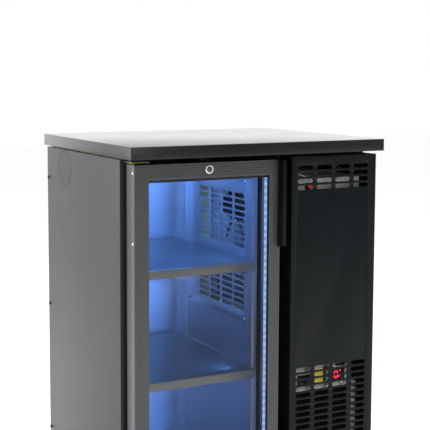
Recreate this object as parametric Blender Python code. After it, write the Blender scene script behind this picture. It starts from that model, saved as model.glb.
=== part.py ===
"""Undercounter bottle refrigerator: one glass door at the left, machine compartment at the right.

Metres, +Z up. The origin is on the floor, at the middle of the footprint. The front faces -Y.
"""
import math

import bmesh
import bpy
from mathutils import Matrix, Vector

for old in list(bpy.data.objects):
    bpy.data.objects.remove(old, do_unlink=True)

# ---- driving dimensions -------------------------------------------------------------------
WIDTH = 0.640
DEPTH = 0.540
HEIGHT = 0.900
LEFT = -WIDTH / 2
RIGHT = WIDTH / 2
FRONT = -DEPTH / 2
REAR = DEPTH / 2
GAP = 0.0003                      # clearance between touching pieces
CUT = 0.0100                      # how far a cutter runs past a face
SHEET = 0.0012                    # folded steel sheet

WORKTOP_T = 0.028
WORKTOP_Z = HEIGHT - WORKTOP_T
CASE_INSET = 0.006                # casing stands in from the worktop's ends
CASE_X0 = LEFT + CASE_INSET
CASE_X1 = RIGHT - CASE_INSET
CASE_Y0 = FRONT + 0.072           # front plane of the cold box, behind the door seal
CASE_Y1 = REAR - 0.006
CASE_Z0 = 0.036                   # underside, on the feet
CASE_Z1 = WORKTOP_Z - 0.004

DOOR_X0 = LEFT + 0.016
DOOR_X1 = LEFT + 0.372
DOOR_Y0 = FRONT + 0.020
DOOR_Y1 = DOOR_Y0 + 0.040
DOOR_Z0 = 0.076
DOOR_Z1 = WORKTOP_Z - 0.011
FRAME_FACE = 0.034                # width of the frame seen from the front
FRAME_BODY = 0.014                # width of its deep outer part
TOP_BODY = 0.027                  # the same on the top rail, which holds the lock
FRAME_LIP = 0.004                 # thickness of its front lip
GLASS_T = 0.004
GLASS_SPACE = 0.012
HINGE_X = LEFT + 0.026
HINGE_Y = FRONT + 0.040
PIN_R = 0.004

CABIN_X0 = LEFT + 0.048
CABIN_X1 = LEFT + 0.347
CABIN_Y0 = CASE_Y0 + 0.006
CABIN_Y1 = REAR - 0.050
CABIN_Z0 = 0.108
CABIN_Z1 = 0.832
LINER = 0.0010

SHELF_Z = (0.6215, 0.3700)        # tops of the upper and the lower shelf
SHELF_LIP = 0.020
SHELF_FRONT = FRONT + 0.086

MACHINE_X0 = LEFT + 0.403         # left edge of the louvred panel
BULKHEAD_X = LEFT + 0.4000
PANEL_Y0 = FRONT + 0.022
PANEL_Z0 = 0.076
PANEL_Z1 = WORKTOP_Z - 0.0075

SLOT_PITCH_X = 0.0505
SLOT_PITCH_Z = 0.0150
SLOT_L = 0.0405
SLOT_H = 0.0098
SLOT_X0 = LEFT + 0.4399           # middle of the first column
UPPER_SLOT_Z = 0.8387             # middle of the first upper row
UPPER_ROWS = 4
LOWER_SLOT_Z = 0.3736             # middle of the first lower row
LOWER_ROWS = 18
SLOT_COLUMNS = 4


# ---- materials ----------------------------------------------------------------------------
def material(name, rgb, rough, metal=0.0, alpha=1.0, glow=0.0):
    """A Principled material with the piece's own colour."""
    mat = bpy.data.materials.new(name)
    mat.use_nodes = True
    shader = mat.node_tree.nodes["Principled BSDF"]
    shader.inputs["Base Color"].default_value = (*rgb, 1.0)
    shader.inputs["Roughness"].default_value = rough
    shader.inputs["Metallic"].default_value = metal
    shader.inputs["Alpha"].default_value = alpha
    shader.inputs["Emission Color"].default_value = (*rgb, 1.0)
    shader.inputs["Emission Strength"].default_value = glow
    return mat


BLACK_COAT = material("black_powder_coat", (0.016, 0.019, 0.021), 0.45)
FRAME_ALU = material("dark_anodised_aluminium", (0.060, 0.062, 0.060), 0.38, 0.8)
LINER_STEEL = material("liner_steel", (0.62, 0.65, 0.70), 0.40, 0.6)
SHELF_STEEL = material("shelf_steel", (0.50, 0.52, 0.54), 0.35, 0.8)
GALVANISED = material("galvanised_steel", (0.45, 0.45, 0.43), 0.45, 0.8)
FOAM = material("polyurethane_foam", (0.72, 0.62, 0.36), 0.90)
GLASS = material("door_glass", (0.80, 0.88, 0.92), 0.05, 0.0, 0.25)
RUBBER = material("black_rubber", (0.012, 0.012, 0.012), 0.70)
PLASTIC = material("black_plastic", (0.014, 0.014, 0.015), 0.50)
CHROME = material("chrome", (0.75, 0.75, 0.76), 0.12, 1.0)
ZINC = material("zinc_plate", (0.55, 0.50, 0.33), 0.35, 0.9)
LIGHT = material("led_diffuser", (0.45, 0.62, 1.00), 0.40, 0.0, 1.0, 3.0)
FIN_ALU = material("fin_aluminium", (0.60, 0.61, 0.62), 0.45, 0.9)
COPPER = material("copper_tube", (0.62, 0.28, 0.16), 0.30, 1.0)
COMPRESSOR_PAINT = material("compressor_paint", (0.010, 0.010, 0.011), 0.40)
RED = material("red_display", (0.80, 0.02, 0.04), 0.40, 0.0, 1.0, 1.0)


# ---- shape helpers ------------------------------------------------------------------------
def place(name, bm, mat, origin=(0.0, 0.0, 0.0), parent=None, smooth=False):
    """Make an object of a bmesh whose points are in world metres; its origin is at origin."""
    bmesh.ops.recalc_face_normals(bm, faces=bm.faces)
    bmesh.ops.translate(bm, verts=bm.verts, vec=-Vector(origin))
    mesh = bpy.data.meshes.new(name)
    bm.to_mesh(mesh)
    bm.free()
    mesh.materials.append(mat)
    if smooth:
        mesh.shade_smooth()
        mesh.set_sharp_from_angle(angle=math.radians(35))
    obj = bpy.data.objects.new(name, mesh)
    bpy.context.scene.collection.objects.link(obj)
    obj.location = Vector(origin)
    if parent is not None:
        obj.parent = parent
        obj.location = Vector(origin) - parent.location
    return obj


def pivot(name, at, parent=None):
    """An empty on a joint's axis."""
    empty = bpy.data.objects.new(name, None)
    bpy.context.scene.collection.objects.link(empty)
    empty.location = Vector(at)
    if parent is not None:
        empty.parent = parent
        empty.location = Vector(at) - parent.location
    return empty


def add_box(bm, low, high):
    """Add a box between two corners."""
    size = Vector(high) - Vector(low)
    middle = (Vector(high) + Vector(low)) / 2
    scale = Matrix.Diagonal((*size, 1.0))
    bmesh.ops.create_cube(bm, size=1.0, matrix=Matrix.Translation(middle) @ scale)


def box(name, low, high, mat, **kw):
    bm = bmesh.new()
    add_box(bm, low, high)
    return place(name, bm, mat, **kw)


TURN = {
    "X": Matrix.Rotation(math.radians(90), 4, "Y"),
    "Y": Matrix.Rotation(math.radians(90), 4, "X"),
    "Z": Matrix.Identity(4),
}


def add_cylinder(bm, middle, radius, length, axis, sides=24, radius2=None):
    """Add a closed cylinder or cone frustum along an axis."""
    bmesh.ops.create_cone(
        bm, cap_ends=True, segments=sides, radius1=radius,
        radius2=radius if radius2 is None else radius2, depth=length,
        matrix=Matrix.Translation(Vector(middle)) @ TURN[axis],
    )


def prism(outline, axis, start, end):
    """A bmesh of a closed outline pushed along an axis. Outline pairs are the other two axes."""
    bm = bmesh.new()
    order = {"X": lambda a, b, t: (t, a, b), "Y": lambda a, b, t: (a, t, b),
             "Z": lambda a, b, t: (a, b, t)}[axis]
    face = bm.faces.new([bm.verts.new(order(a, b, start)) for a, b in outline])
    pushed = bmesh.ops.extrude_face_region(bm, geom=[face])
    moved = [v for v in pushed["geom"] if isinstance(v, bmesh.types.BMVert)]
    bmesh.ops.translate(bm, verts=moved, vec=Vector(order(0.0, 0.0, end - start)))
    return bm


def boolean(obj, bm, name, operation="DIFFERENCE"):
    """Cut obj with, or join it to, the shapes in a bmesh given in world metres."""
    tool = place(name, bm, PLASTIC)
    tool.hide_render = True
    tool.display_type = "WIRE"
    change = obj.modifiers.new(name, "BOOLEAN")
    change.operation = operation
    change.object = tool
    change.solver = "EXACT"


def add_slots(bm, axis, at, first, second, size, round_end=True):
    """Add cutters for a field of long slots; first and second are lists of slot middles."""
    half_l = size[0] / 2
    half_h = size[1] / 2
    cut = half_h * 0.6 if round_end else 0.0
    depth = 0.010
    for a in first:
        for b in second:
            if round_end:
                ring = [(-half_l, -half_h + cut), (-half_l + cut, -half_h),
                        (half_l - cut, -half_h), (half_l, -half_h + cut),
                        (half_l, half_h - cut), (half_l - cut, half_h),
                        (-half_l + cut, half_h), (-half_l, half_h - cut)]
            else:
                ring = [(-half_l, -half_h), (half_l, -half_h), (half_l, half_h), (-half_l, half_h)]
            piece = prism([(a + u, b + v) for u, v in ring], axis, at - depth / 2, at + depth / 2)
            mesh = bpy.data.meshes.new("slot")
            piece.to_mesh(mesh)
            piece.free()
            bm.from_mesh(mesh)
            bpy.data.meshes.remove(mesh)


def spread(first, count, step):
    return [first + i * step for i in range(count)]


# ---- worktop ------------------------------------------------------------------------------
top = box("worktop", (LEFT, FRONT, WORKTOP_Z), (RIGHT, REAR, HEIGHT), BLACK_COAT)
recess = bmesh.new()
add_box(recess, (LEFT + SHEET, FRONT + SHEET, WORKTOP_Z - 0.010),
        (RIGHT - SHEET, REAR - SHEET, HEIGHT - SHEET))
boolean(top, recess, "worktop_recess")

# ---- casing: side panels, rear panel, underside -------------------------------------------
RETURN = 0.018                    # folded edge of a side panel
KNOCKOUT = (REAR - 0.131, HEIGHT - 0.076)
KNOCKOUT_R = 0.0440


def side_outline(outer, inward):
    """Plan outline of a side panel with its front and rear edges folded inwards."""
    inner = outer + inward * SHEET
    tip = outer + inward * RETURN
    return [(outer, CASE_Y0), (tip, CASE_Y0), (tip, CASE_Y0 + SHEET), (inner, CASE_Y0 + SHEET),
            (inner, CASE_Y1 - SHEET), (tip, CASE_Y1 - SHEET), (tip, CASE_Y1), (outer, CASE_Y1)]


left_side = place("left_side_panel", prism(side_outline(CASE_X0, 1), "Z", CASE_Z0, CASE_Z1),
                  BLACK_COAT)
hole = bmesh.new()
add_cylinder(hole, (CASE_X0, *KNOCKOUT), KNOCKOUT_R + 0.0006, 0.010, "X", 32)
boolean(left_side, hole, "knockout_hole")
disc = bmesh.new()
add_cylinder(disc, (CASE_X0 + SHEET / 2, *KNOCKOUT), KNOCKOUT_R, SHEET, "X", 32)
place("knockout_disc", disc, BLACK_COAT)
place("right_side_panel", prism(side_outline(CASE_X1, -1), "Z", CASE_Z0, CASE_Z1), BLACK_COAT)

rear = box("rear_panel", (CASE_X0 + RETURN + GAP, CASE_Y1 - SHEET, CASE_Z0),
           (CASE_X1 - RETURN - GAP, CASE_Y1, CASE_Z1), GALVANISED)
vents = bmesh.new()
VENT_X = spread(BULKHEAD_X + 0.060, 3, 0.060)
add_slots(vents, "Y", CASE_Y1, VENT_X, spread(0.130, 8, 0.018), (0.048, 0.008), False)
add_slots(vents, "Y", CASE_Y1, VENT_X, spread(0.640, 6, 0.018), (0.048, 0.008), False)
boolean(rear, vents, "rear_vents")

FOOT_XY = [(sx * (WIDTH / 2 - 0.050), y) for y in (CASE_Y0 + 0.035, CASE_Y1 - 0.045) for sx in (-1, 1)]
STEM_R = 0.0050
under = box("bottom_panel", (CASE_X0 + SHEET + GAP, CASE_Y0 + SHEET + GAP, CASE_Z0),
            (CASE_X1 - SHEET - GAP, CASE_Y1 - SHEET - GAP, CASE_Z0 + SHEET), GALVANISED)
stem_holes = bmesh.new()
for fx, fy in FOOT_XY:
    add_cylinder(stem_holes, (fx, fy, CASE_Z0), STEM_R + 0.0008, 0.020, "Z", 12)
boolean(under, stem_holes, "stem_holes")

# ---- cold box: foam, liner, front frame ---------------------------------------------------
FOAM_X0 = CASE_X0 + SHEET + GAP
FOAM_Y0 = CABIN_Y0
FOAM_Y1 = CASE_Y1 - SHEET - GAP
FOAM_Z0 = CASE_Z0 + SHEET + GAP
WINDOW_Y = (FRONT + 0.112, FRONT + 0.392)     # opening to the evaporator
WINDOW_Z = (0.480, 0.800)
foam = box("foam_insulation", (FOAM_X0, FOAM_Y0, FOAM_Z0), (BULKHEAD_X - GAP, FOAM_Y1, CASE_Z1), FOAM)
hollow = bmesh.new()
add_box(hollow, (CABIN_X0 - LINER - GAP, FOAM_Y0 - 0.020, CABIN_Z0 - LINER - GAP),
        (CABIN_X1 + LINER + GAP, CABIN_Y1 + LINER + GAP, CABIN_Z1 + LINER + GAP))
boolean(foam, hollow, "cabin_hollow")
pocket = bmesh.new()
add_box(pocket, (CABIN_X1 - 0.010, WINDOW_Y[0], WINDOW_Z[0]), (BULKHEAD_X + 0.010, WINDOW_Y[1], WINDOW_Z[1]))
boolean(foam, pocket, "evaporator_pocket")
fold = bmesh.new()
add_box(fold, (CASE_X0 - 0.010, CASE_Y1 - SHEET - 2 * GAP, 0.0),
        (CASE_X0 + RETURN + GAP, CASE_Y1 + 0.010, HEIGHT))
boolean(foam, fold, "rear_fold_clearance")
foot_wells = bmesh.new()
for fx, fy in FOOT_XY:
    add_cylinder(foot_wells, (fx, fy, FOAM_Z0), STEM_R + 0.0015, 0.060, "Z", 12)
boolean(foam, foot_wells, "foot_wells")

box("liner_left", (CABIN_X0 - LINER, CABIN_Y0, CABIN_Z0 - LINER),
    (CABIN_X0, CABIN_Y1 + LINER, CABIN_Z1 + LINER), LINER_STEEL)
liner_right = box("liner_right", (CABIN_X1, CABIN_Y0, CABIN_Z0 - LINER),
                  (CABIN_X1 + LINER, CABIN_Y1 + LINER, CABIN_Z1 + LINER), LINER_STEEL)
window = bmesh.new()
add_box(window, (CABIN_X1 - 0.010, WINDOW_Y[0], WINDOW_Z[0]), (CABIN_X1 + 0.010, WINDOW_Y[1], WINDOW_Z[1]))
boolean(liner_right, window, "liner_window")
INNER_X = (CABIN_X0 + GAP, CABIN_X1 - GAP)
box("liner_rear", (INNER_X[0], CABIN_Y1, CABIN_Z0 - LINER), (INNER_X[1], CABIN_Y1 + LINER, CABIN_Z1 + LINER),
    LINER_STEEL)
box("liner_ceiling", (INNER_X[0], CABIN_Y0, CABIN_Z1), (INNER_X[1], CABIN_Y1 - GAP, CABIN_Z1 + LINER),
    LINER_STEEL)
box("liner_floor", (INNER_X[0], CABIN_Y0, CABIN_Z0 - LINER), (INNER_X[1], CABIN_Y1 - GAP, CABIN_Z0),
    LINER_STEEL)

BREAKER_X0 = CASE_X0 + SHEET + GAP
BREAKER_Y0 = CASE_Y0 + SHEET + GAP
BREAKER_X1 = BULKHEAD_X - GAP
BREAKER_Z = (CASE_Z0 + SHEET + GAP, CASE_Z1)
breaker = box("front_breaker_frame", (BREAKER_X0, BREAKER_Y0, BREAKER_Z[0]),
              (BREAKER_X1, CABIN_Y0 - GAP, BREAKER_Z[1]), PLASTIC)
mouth = bmesh.new()
add_box(mouth, (CABIN_X0, BREAKER_Y0 - 0.010, CABIN_Z0), (CABIN_X1, CABIN_Y0 + 0.010, CABIN_Z1))
boolean(breaker, mouth, "breaker_mouth")

KICK_Y0 = FRONT + 0.058
box("kick_plate", (CASE_X0, KICK_Y0, CASE_Z0), (CASE_X1, KICK_Y0 + SHEET, DOOR_Z0 - 0.006), BLACK_COAT)

# ---- shelf uprights and shelves -----------------------------------------------------------
UPRIGHT_W = 0.024
UPRIGHT_T = 0.0030
UPRIGHT_Z = (CABIN_Z0 + 0.020, CABIN_Z1 - 0.020)
UPRIGHT_Y = {"front": FRONT + 0.094, "rear": CABIN_Y1 - 0.060}
HOLE_STEP = 0.050
for side, x0, x1 in (("left", CABIN_X0 + GAP, CABIN_X0 + GAP + UPRIGHT_T),
                     ("right", CABIN_X1 - GAP - UPRIGHT_T, CABIN_X1 - GAP)):
    for end, y0 in UPRIGHT_Y.items():
        strip = box(f"shelf_upright_{side}_{end}", (x0, y0, UPRIGHT_Z[0]),
                    (x1, y0 + UPRIGHT_W, UPRIGHT_Z[1]), LINER_STEEL)
        holes = bmesh.new()
        add_slots(holes, "X", (x0 + x1) / 2, [y0 + UPRIGHT_W / 2],
                  spread(UPRIGHT_Z[0] + 0.025, 14, HOLE_STEP), (0.010, 0.006), False)
        boolean(strip, holes, f"holes_{side}_{end}")

SHELF_T = 0.0015
SHELF_X = (CABIN_X0 + UPRIGHT_T + 0.0015, CABIN_X1 - UPRIGHT_T - 0.0015)
SHELF_REAR = CABIN_Y1 - 0.012
LIP_CLEAR = 0.0008                # side clearance of the wider front lip
LIP_X = (CABIN_X0 + LIP_CLEAR, CABIN_X1 - LIP_CLEAR)
LIP_DEPTH = 0.0040
for name, z in (("upper_shelf", SHELF_Z[0]), ("lower_shelf", SHELF_Z[1])):
    section = [(SHELF_FRONT, z), (SHELF_FRONT, z - SHELF_LIP), (SHELF_FRONT + SHELF_T, z - SHELF_LIP),
               (SHELF_FRONT + SHELF_T, z - SHELF_T), (SHELF_REAR - SHELF_T, z - SHELF_T),
               (SHELF_REAR - SHELF_T, z - SHELF_LIP), (SHELF_REAR, z - SHELF_LIP), (SHELF_REAR, z)]
    shelf = place(name, prism(section, "X", *LIP_X), SHELF_STEEL)
    notches = bmesh.new()
    for x0, x1 in ((LIP_X[0] - CUT, SHELF_X[0]), (SHELF_X[1], LIP_X[1] + CUT)):
        add_box(notches, (x0, SHELF_FRONT + LIP_DEPTH, z - SHELF_LIP - CUT), (x1, SHELF_REAR + CUT, z + CUT))
    boolean(shelf, notches, f"{name}_notches")

# ---- evaporator set behind the right-hand wall --------------------------------------------
COVER_Y = (WINDOW_Y[0] + 0.010, WINDOW_Y[1] + 0.020)
COVER_Z = (WINDOW_Z[0] - 0.010, WINDOW_Z[1] + 0.012)
COVER_T = 0.0015
cover = box("evaporator_cover", (CABIN_X1 - GAP - COVER_T, COVER_Y[0], COVER_Z[0]),
            (CABIN_X1 - GAP, COVER_Y[1], COVER_Z[1]), LINER_STEEL)
grille = bmesh.new()
GRILLE_Y = spread(COVER_Y[0] + 0.034, 4, 0.0585)
add_slots(grille, "X", CABIN_X1, GRILLE_Y, spread(0.502, 7, 0.0146), (0.050, 0.0100), False)
add_slots(grille, "X", CABIN_X1, GRILLE_Y, spread(0.650, 9, 0.0146), (0.050, 0.0100), False)
boolean(cover, grille, "grille_slots")

HOUSING_X0 = MACHINE_X0 + SHEET + 0.002
HOUSING_X1 = LEFT + 0.604
HOUSING_Y = (FRONT + 0.046, FRONT + 0.420)
HOUSING_Z = (0.420, 0.8135)
housing = box("evaporator_housing", (HOUSING_X0, HOUSING_Y[0], HOUSING_Z[0]),
              (HOUSING_X1, HOUSING_Y[1], HOUSING_Z[1]), GALVANISED)
HOUSING_WALL = 0.018
room = bmesh.new()
add_box(room, (BULKHEAD_X - 0.020, HOUSING_Y[0] + HOUSING_WALL, HOUSING_Z[0] + HOUSING_WALL),
        (HOUSING_X1 - HOUSING_WALL, HOUSING_Y[1] - HOUSING_WALL, HOUSING_Z[1] - HOUSING_WALL))
boolean(housing, room, "housing_room")

bulkhead = box("bulkhead", (BULKHEAD_X, CASE_Y0 + SHEET + GAP, CASE_Z0 + SHEET + GAP),
               (BULKHEAD_X + SHEET, CASE_Y1 - SHEET - GAP, CASE_Z1), GALVANISED)
pass_through = bmesh.new()
add_box(pass_through, (BULKHEAD_X - 0.010, WINDOW_Y[0], WINDOW_Z[0]),
        (BULKHEAD_X + 0.010, WINDOW_Y[1], WINDOW_Z[1]))
boolean(bulkhead, pass_through, "bulkhead_window")


def comb(y0, y1, z0, z1, fins, web):
    """Side outline of a finned block: fins standing on a common web."""
    step = (y1 - y0) / (2 * fins - 1)
    points = [(y0, z0)]
    for i in range(fins):
        a = y0 + 2 * i * step
        if i:
            points.append((a, z0 + web))
        points.append((a, z1))
        points.append((a + step, z1))
        if i < fins - 1:
            points.append((a + step, z0 + web))
    points.append((y1, z0))
    return points


EVAP_X = (HOUSING_X0 + 0.004, HOUSING_X1 - HOUSING_WALL - 0.010)
EVAP_Y = (WINDOW_Y[0] + 0.010, WINDOW_Y[1] - 0.010)
place("evaporator_coil", prism(comb(*EVAP_Y, 0.475, 0.575, 24, 0.012), "X", *EVAP_X), FIN_ALU)
box("drip_tray", (EVAP_X[0], EVAP_Y[0], 0.4390), (EVAP_X[1], EVAP_Y[1], 0.4420), PLASTIC)

EVAP_FAN = Vector((LEFT + 0.388, (WINDOW_Y[0] + WINDOW_Y[1]) / 2, 0.7150))


def fan_blade(name, hub, axis, hub_r, hub_l, tip_r, blades, mat, parent):
    """An axial fan wheel: hub with pitched blades, joined into one body."""
    bm = bmesh.new()
    add_cylinder(bm, hub, hub_r, hub_l, axis, 20)
    wheel = place(name, bm, mat, origin=hub, parent=parent)
    spin_axis = "X" if axis == "X" else "Y"
    for i in range(blades):
        blade = bmesh.new()
        length = tip_r - hub_r * 0.6
        low = Vector((-hub_l * 0.06, -tip_r * 0.28, hub_r * 0.6))
        add_box(blade, low, (hub_l * 0.06, tip_r * 0.28, hub_r * 0.6 + length))
        pitch = Matrix.Rotation(math.radians(28), 4, "Z")
        if axis == "Y":
            pitch = Matrix.Rotation(math.radians(90), 4, "Z") @ pitch
        turn = Matrix.Rotation(2 * math.pi * i / blades, 4, spin_axis)
        bmesh.ops.transform(blade, matrix=Matrix.Translation(hub) @ turn @ pitch, verts=blade.verts)
        boolean(wheel, blade, f"{name}_part_{i}", "UNION")
    return wheel


evap_spin = pivot("evaporator_fan_axis", EVAP_FAN)
fan_blade("evaporator_fan_wheel", EVAP_FAN, "X", 0.018, 0.016, 0.070, 5, PLASTIC, evap_spin)
motor = bmesh.new()
add_cylinder(motor, EVAP_FAN + Vector((0.034, 0, 0)), 0.022, 0.040, "X", 20)
place("evaporator_fan_motor", motor, PLASTIC, smooth=True)

# ---- door ---------------------------------------------------------------------------------
door = pivot("door_axis", (HINGE_X, HINGE_Y, DOOR_Z0))


def mitred(name, edge):
    """One frame profile with 45 degree ends; edge is top, bottom, left or right."""
    bm = bmesh.new()
    ends = ([], [])
    body = TOP_BODY if edge == "top" else FRAME_BODY
    section = [(0.0, DOOR_Y0), (FRAME_FACE, DOOR_Y0), (FRAME_FACE, DOOR_Y0 + FRAME_LIP),
               (body, DOOR_Y0 + FRAME_LIP), (body, DOOR_Y1), (0.0, DOOR_Y1)]
    for inset, y in section:
        near = inset + GAP
        if edge in ("top", "bottom"):
            z = DOOR_Z1 - inset if edge == "top" else DOOR_Z0 + inset
            ends[0].append(bm.verts.new((DOOR_X0 + near, y, z)))
            ends[1].append(bm.verts.new((DOOR_X1 - near, y, z)))
        else:
            x = DOOR_X0 + inset if edge == "left" else DOOR_X1 - inset
            ends[0].append(bm.verts.new((x, y, DOOR_Z0 + near)))
            ends[1].append(bm.verts.new((x, y, DOOR_Z1 - near)))
    count = len(section)
    bm.faces.new(ends[0])
    bm.faces.new(reversed(ends[1]))
    for i in range(count):
        j = (i + 1) % count
        bm.faces.new((ends[0][i], ends[1][i], ends[1][j], ends[0][j]))
    return place(name, bm, FRAME_ALU, origin=door.location, parent=door)


top_rail = mitred("door_rail_top", "top")
bottom_rail = mitred("door_rail_bottom", "bottom")
left_stile = mitred("door_stile_left", "left")
mitred("door_stile_right", "right")
LOCK = Vector((DOOR_X0 + 0.1775, DOOR_Y0, DOOR_Z1 - 0.0150))
CAM_Y = LOCK.y + 0.0285
CAM_REACH = 0.0205
LOCK_R = 0.0095
lock_bore = bmesh.new()
add_cylinder(lock_bore, LOCK + Vector((0, 0.020, 0)), LOCK_R - 0.0015 + GAP, 0.060, "Y", 20)
boolean(top_rail, lock_bore, "lock_bore")
cam_room = bmesh.new()
add_box(cam_room, (LOCK.x - CAM_REACH - 0.002, CAM_Y - 0.0025, LOCK.z - 0.0070),
        (LOCK.x + 0.0075, CAM_Y + 0.0025, DOOR_Z1 + 0.010))
boolean(top_rail, cam_room, "cam_room")
for piece, level, where in ((top_rail, DOOR_Z1, "top_rail"), (left_stile, DOOR_Z1, "top_stile"),
                            (bottom_rail, DOOR_Z0, "bottom_rail"), (left_stile, DOOR_Z0, "bottom_stile")):
    pin_bore = bmesh.new()
    add_cylinder(pin_bore, (HINGE_X, HINGE_Y, level), PIN_R + 0.0006, 0.024, "Z", 16)
    boolean(piece, pin_bore, f"pin_bore_{where}")

GLASS_IN = FRAME_BODY + 0.001
GLASS_TOP = DOOR_Z1 - TOP_BODY - 0.001
PANE_Y0 = DOOR_Y0 + FRAME_LIP + GAP
for name, y0 in (("glass_outer", PANE_Y0), ("glass_inner", PANE_Y0 + GLASS_T + GLASS_SPACE)):
    box(name, (DOOR_X0 + GLASS_IN, y0, DOOR_Z0 + GLASS_IN), (DOOR_X1 - GLASS_IN, y0 + GLASS_T, GLASS_TOP),
        GLASS, origin=door.location, parent=door)


def door_ring(name, outer, width, y0, y1, top, mat):
    """A closed ring parallel to the door, inset from its sides, with its own top level."""
    ring = box(name, (DOOR_X0 + outer, y0, DOOR_Z0 + outer), (DOOR_X1 - outer, y1, top),
               mat, origin=door.location, parent=door)
    middle = bmesh.new()
    inner = outer + width
    add_box(middle, (DOOR_X0 + inner, y0 - 0.005, DOOR_Z0 + inner), (DOOR_X1 - inner, y1 + 0.005, top - width))
    boolean(ring, middle, f"{name}_middle")
    return ring


door_ring("glass_spacer", GLASS_IN + 0.002, 0.010, PANE_Y0 + GLASS_T + GAP,
          PANE_Y0 + GLASS_T + GLASS_SPACE - GAP, GLASS_TOP - 0.002, RUBBER)
GASKET_IN = 0.0100
GASKET_W = 0.0120
door_ring("door_gasket", GASKET_IN, GASKET_W, DOOR_Y1 + GAP, CASE_Y0 - 2 * GAP, DOOR_Z1 - GASKET_IN, RUBBER)
PANE_Y1 = PANE_Y0 + 2 * GLASS_T + GLASS_SPACE
LED_INSET = (GLASS_IN + 0.0005, GLASS_IN + 0.0125)
box("led_strip", (DOOR_X1 - LED_INSET[1], PANE_Y1 + GAP, DOOR_Z0 + 0.040),
    (DOOR_X1 - LED_INSET[0], PANE_Y1 + 0.009, DOOR_Z1 - 0.040), LIGHT, origin=door.location, parent=door)

HANDLE_W = 0.0095
HANDLE_X1 = DOOR_X1 + 0.0045     # it overhangs the door's free edge
HANDLE_X0 = HANDLE_X1 - HANDLE_W
HANDLE_Z = (DOOR_Z1 - 0.196, DOOR_Z1 + 0.002)
HANDLE_Y0 = FRONT + GAP
HANDLE_WALL = 0.0035              # wall at the hand's left
HANDLE_LIP = 0.0050               # front lip that the fingers pull
HANDLE_FOOT = 0.0180              # solid foot at each end
HANDLE_SLOPE = 0.0040
grip = [(HANDLE_Y0, HANDLE_Z[0] + HANDLE_SLOPE), (DOOR_Y0 - GAP, HANDLE_Z[0]),
        (DOOR_Y0 - GAP, HANDLE_Z[1]), (HANDLE_Y0, HANDLE_Z[1] - HANDLE_SLOPE)]
handle = place("door_handle", prism(grip, "X", HANDLE_X0, HANDLE_X1), PLASTIC,
               origin=door.location, parent=door)
finger_room = bmesh.new()
add_box(finger_room, (HANDLE_X0 + HANDLE_WALL, HANDLE_Y0 + HANDLE_LIP, HANDLE_Z[0] + HANDLE_FOOT),
        (HANDLE_X1 + CUT, DOOR_Y0 + CUT, HANDLE_Z[1] - HANDLE_FOOT))
boolean(handle, finger_room, "finger_room")

lock_ring = bmesh.new()
add_cylinder(lock_ring, LOCK + Vector((0, -0.0010, 0)), LOCK_R + 0.0005, 0.0020 - 2 * GAP, "Y", 24)
ring = place("lock_barrel", lock_ring, CHROME, origin=door.location, parent=door)
barrel = bmesh.new()
add_cylinder(barrel, LOCK + Vector((0, 0.01275, 0)), LOCK_R - 0.0015, 0.0285, "Y", 20)
boolean(ring, barrel, "barrel_body", "UNION")
PLUG_R = 0.0055
plug_bore = bmesh.new()
add_cylinder(plug_bore, LOCK + Vector((0, 0.020, 0)), PLUG_R + GAP, 0.080, "Y", 20)
boolean(ring, plug_bore, "plug_bore")
plug_axis = pivot("lock_axis", LOCK, door)
plug_mesh = bmesh.new()
add_cylinder(plug_mesh, LOCK + Vector((0, 0.0135, 0)), PLUG_R, 0.0310, "Y", 20)
plug = bpy.data.meshes.new("lock_plug")
bmesh.ops.recalc_face_normals(plug_mesh, faces=plug_mesh.faces)
bmesh.ops.translate(plug_mesh, verts=plug_mesh.verts, vec=-LOCK)
plug_mesh.to_mesh(plug)
plug_mesh.free()
plug.materials.append(CHROME)
lock_plug = bpy.data.objects.new("lock_plug", plug)
bpy.context.scene.collection.objects.link(lock_plug)
lock_plug.parent = plug_axis
cam_plate = bmesh.new()
CAM_HALF = Vector((0.0050, 0.0010, 0.0050))
add_box(cam_plate, (LOCK.x - CAM_REACH, CAM_Y - CAM_HALF.y, LOCK.z - CAM_HALF.z),
        (LOCK.x + CAM_HALF.x, CAM_Y + CAM_HALF.y, LOCK.z + CAM_HALF.z))
boolean(lock_plug, cam_plate, "lock_cam", "UNION")
slot = bmesh.new()
KEY_SLOT = Vector((0.0008, 0.0020, 0.0035))
add_box(slot, (LOCK.x - KEY_SLOT.x, LOCK.y - CUT, LOCK.z - KEY_SLOT.z), LOCK + KEY_SLOT)
boolean(lock_plug, slot, "key_slot")

# ---- hinge brackets and lock strike -------------------------------------------------------
PLATE = 0.0025
TOP_PLATE_Z = DOOR_Z1 + 0.0030
hinge_outline = [(HINGE_X - 0.012, HINGE_Y - 0.012), (HINGE_X + 0.030, HINGE_Y - 0.012),
                 (HINGE_X + 0.030, CASE_Y0 - GAP), (HINGE_X - 0.012, CASE_Y0 - GAP)]
upper_hinge = place("hinge_bracket_top", prism(hinge_outline, "Z", TOP_PLATE_Z, TOP_PLATE_Z + PLATE), ZINC)
pin = bmesh.new()
add_cylinder(pin, (HINGE_X, HINGE_Y, DOOR_Z1 - 0.002), PIN_R, 0.0120, "Z", 16)
boolean(upper_hinge, pin, "top_pin", "UNION")
lower_outline = [(HINGE_X - 0.012, HINGE_Y - 0.012), (HINGE_X + 0.030, HINGE_Y - 0.012),
                 (HINGE_X + 0.030, KICK_Y0 - GAP), (HINGE_X - 0.012, KICK_Y0 - GAP)]
LOW_PLATE_Z = DOOR_Z0 - 0.0030
lower_hinge = place("hinge_bracket_bottom", prism(lower_outline, "Z", LOW_PLATE_Z - PLATE, LOW_PLATE_Z),
                    ZINC)
pin = bmesh.new()
add_cylinder(pin, (HINGE_X, HINGE_Y, DOOR_Z0 + 0.002), PIN_R, 0.0120, "Z", 16)
boolean(lower_hinge, pin, "bottom_pin", "UNION")
STRIKE_Y = CAM_Y - 0.0040
STRIKE_T = 0.0020
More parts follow.
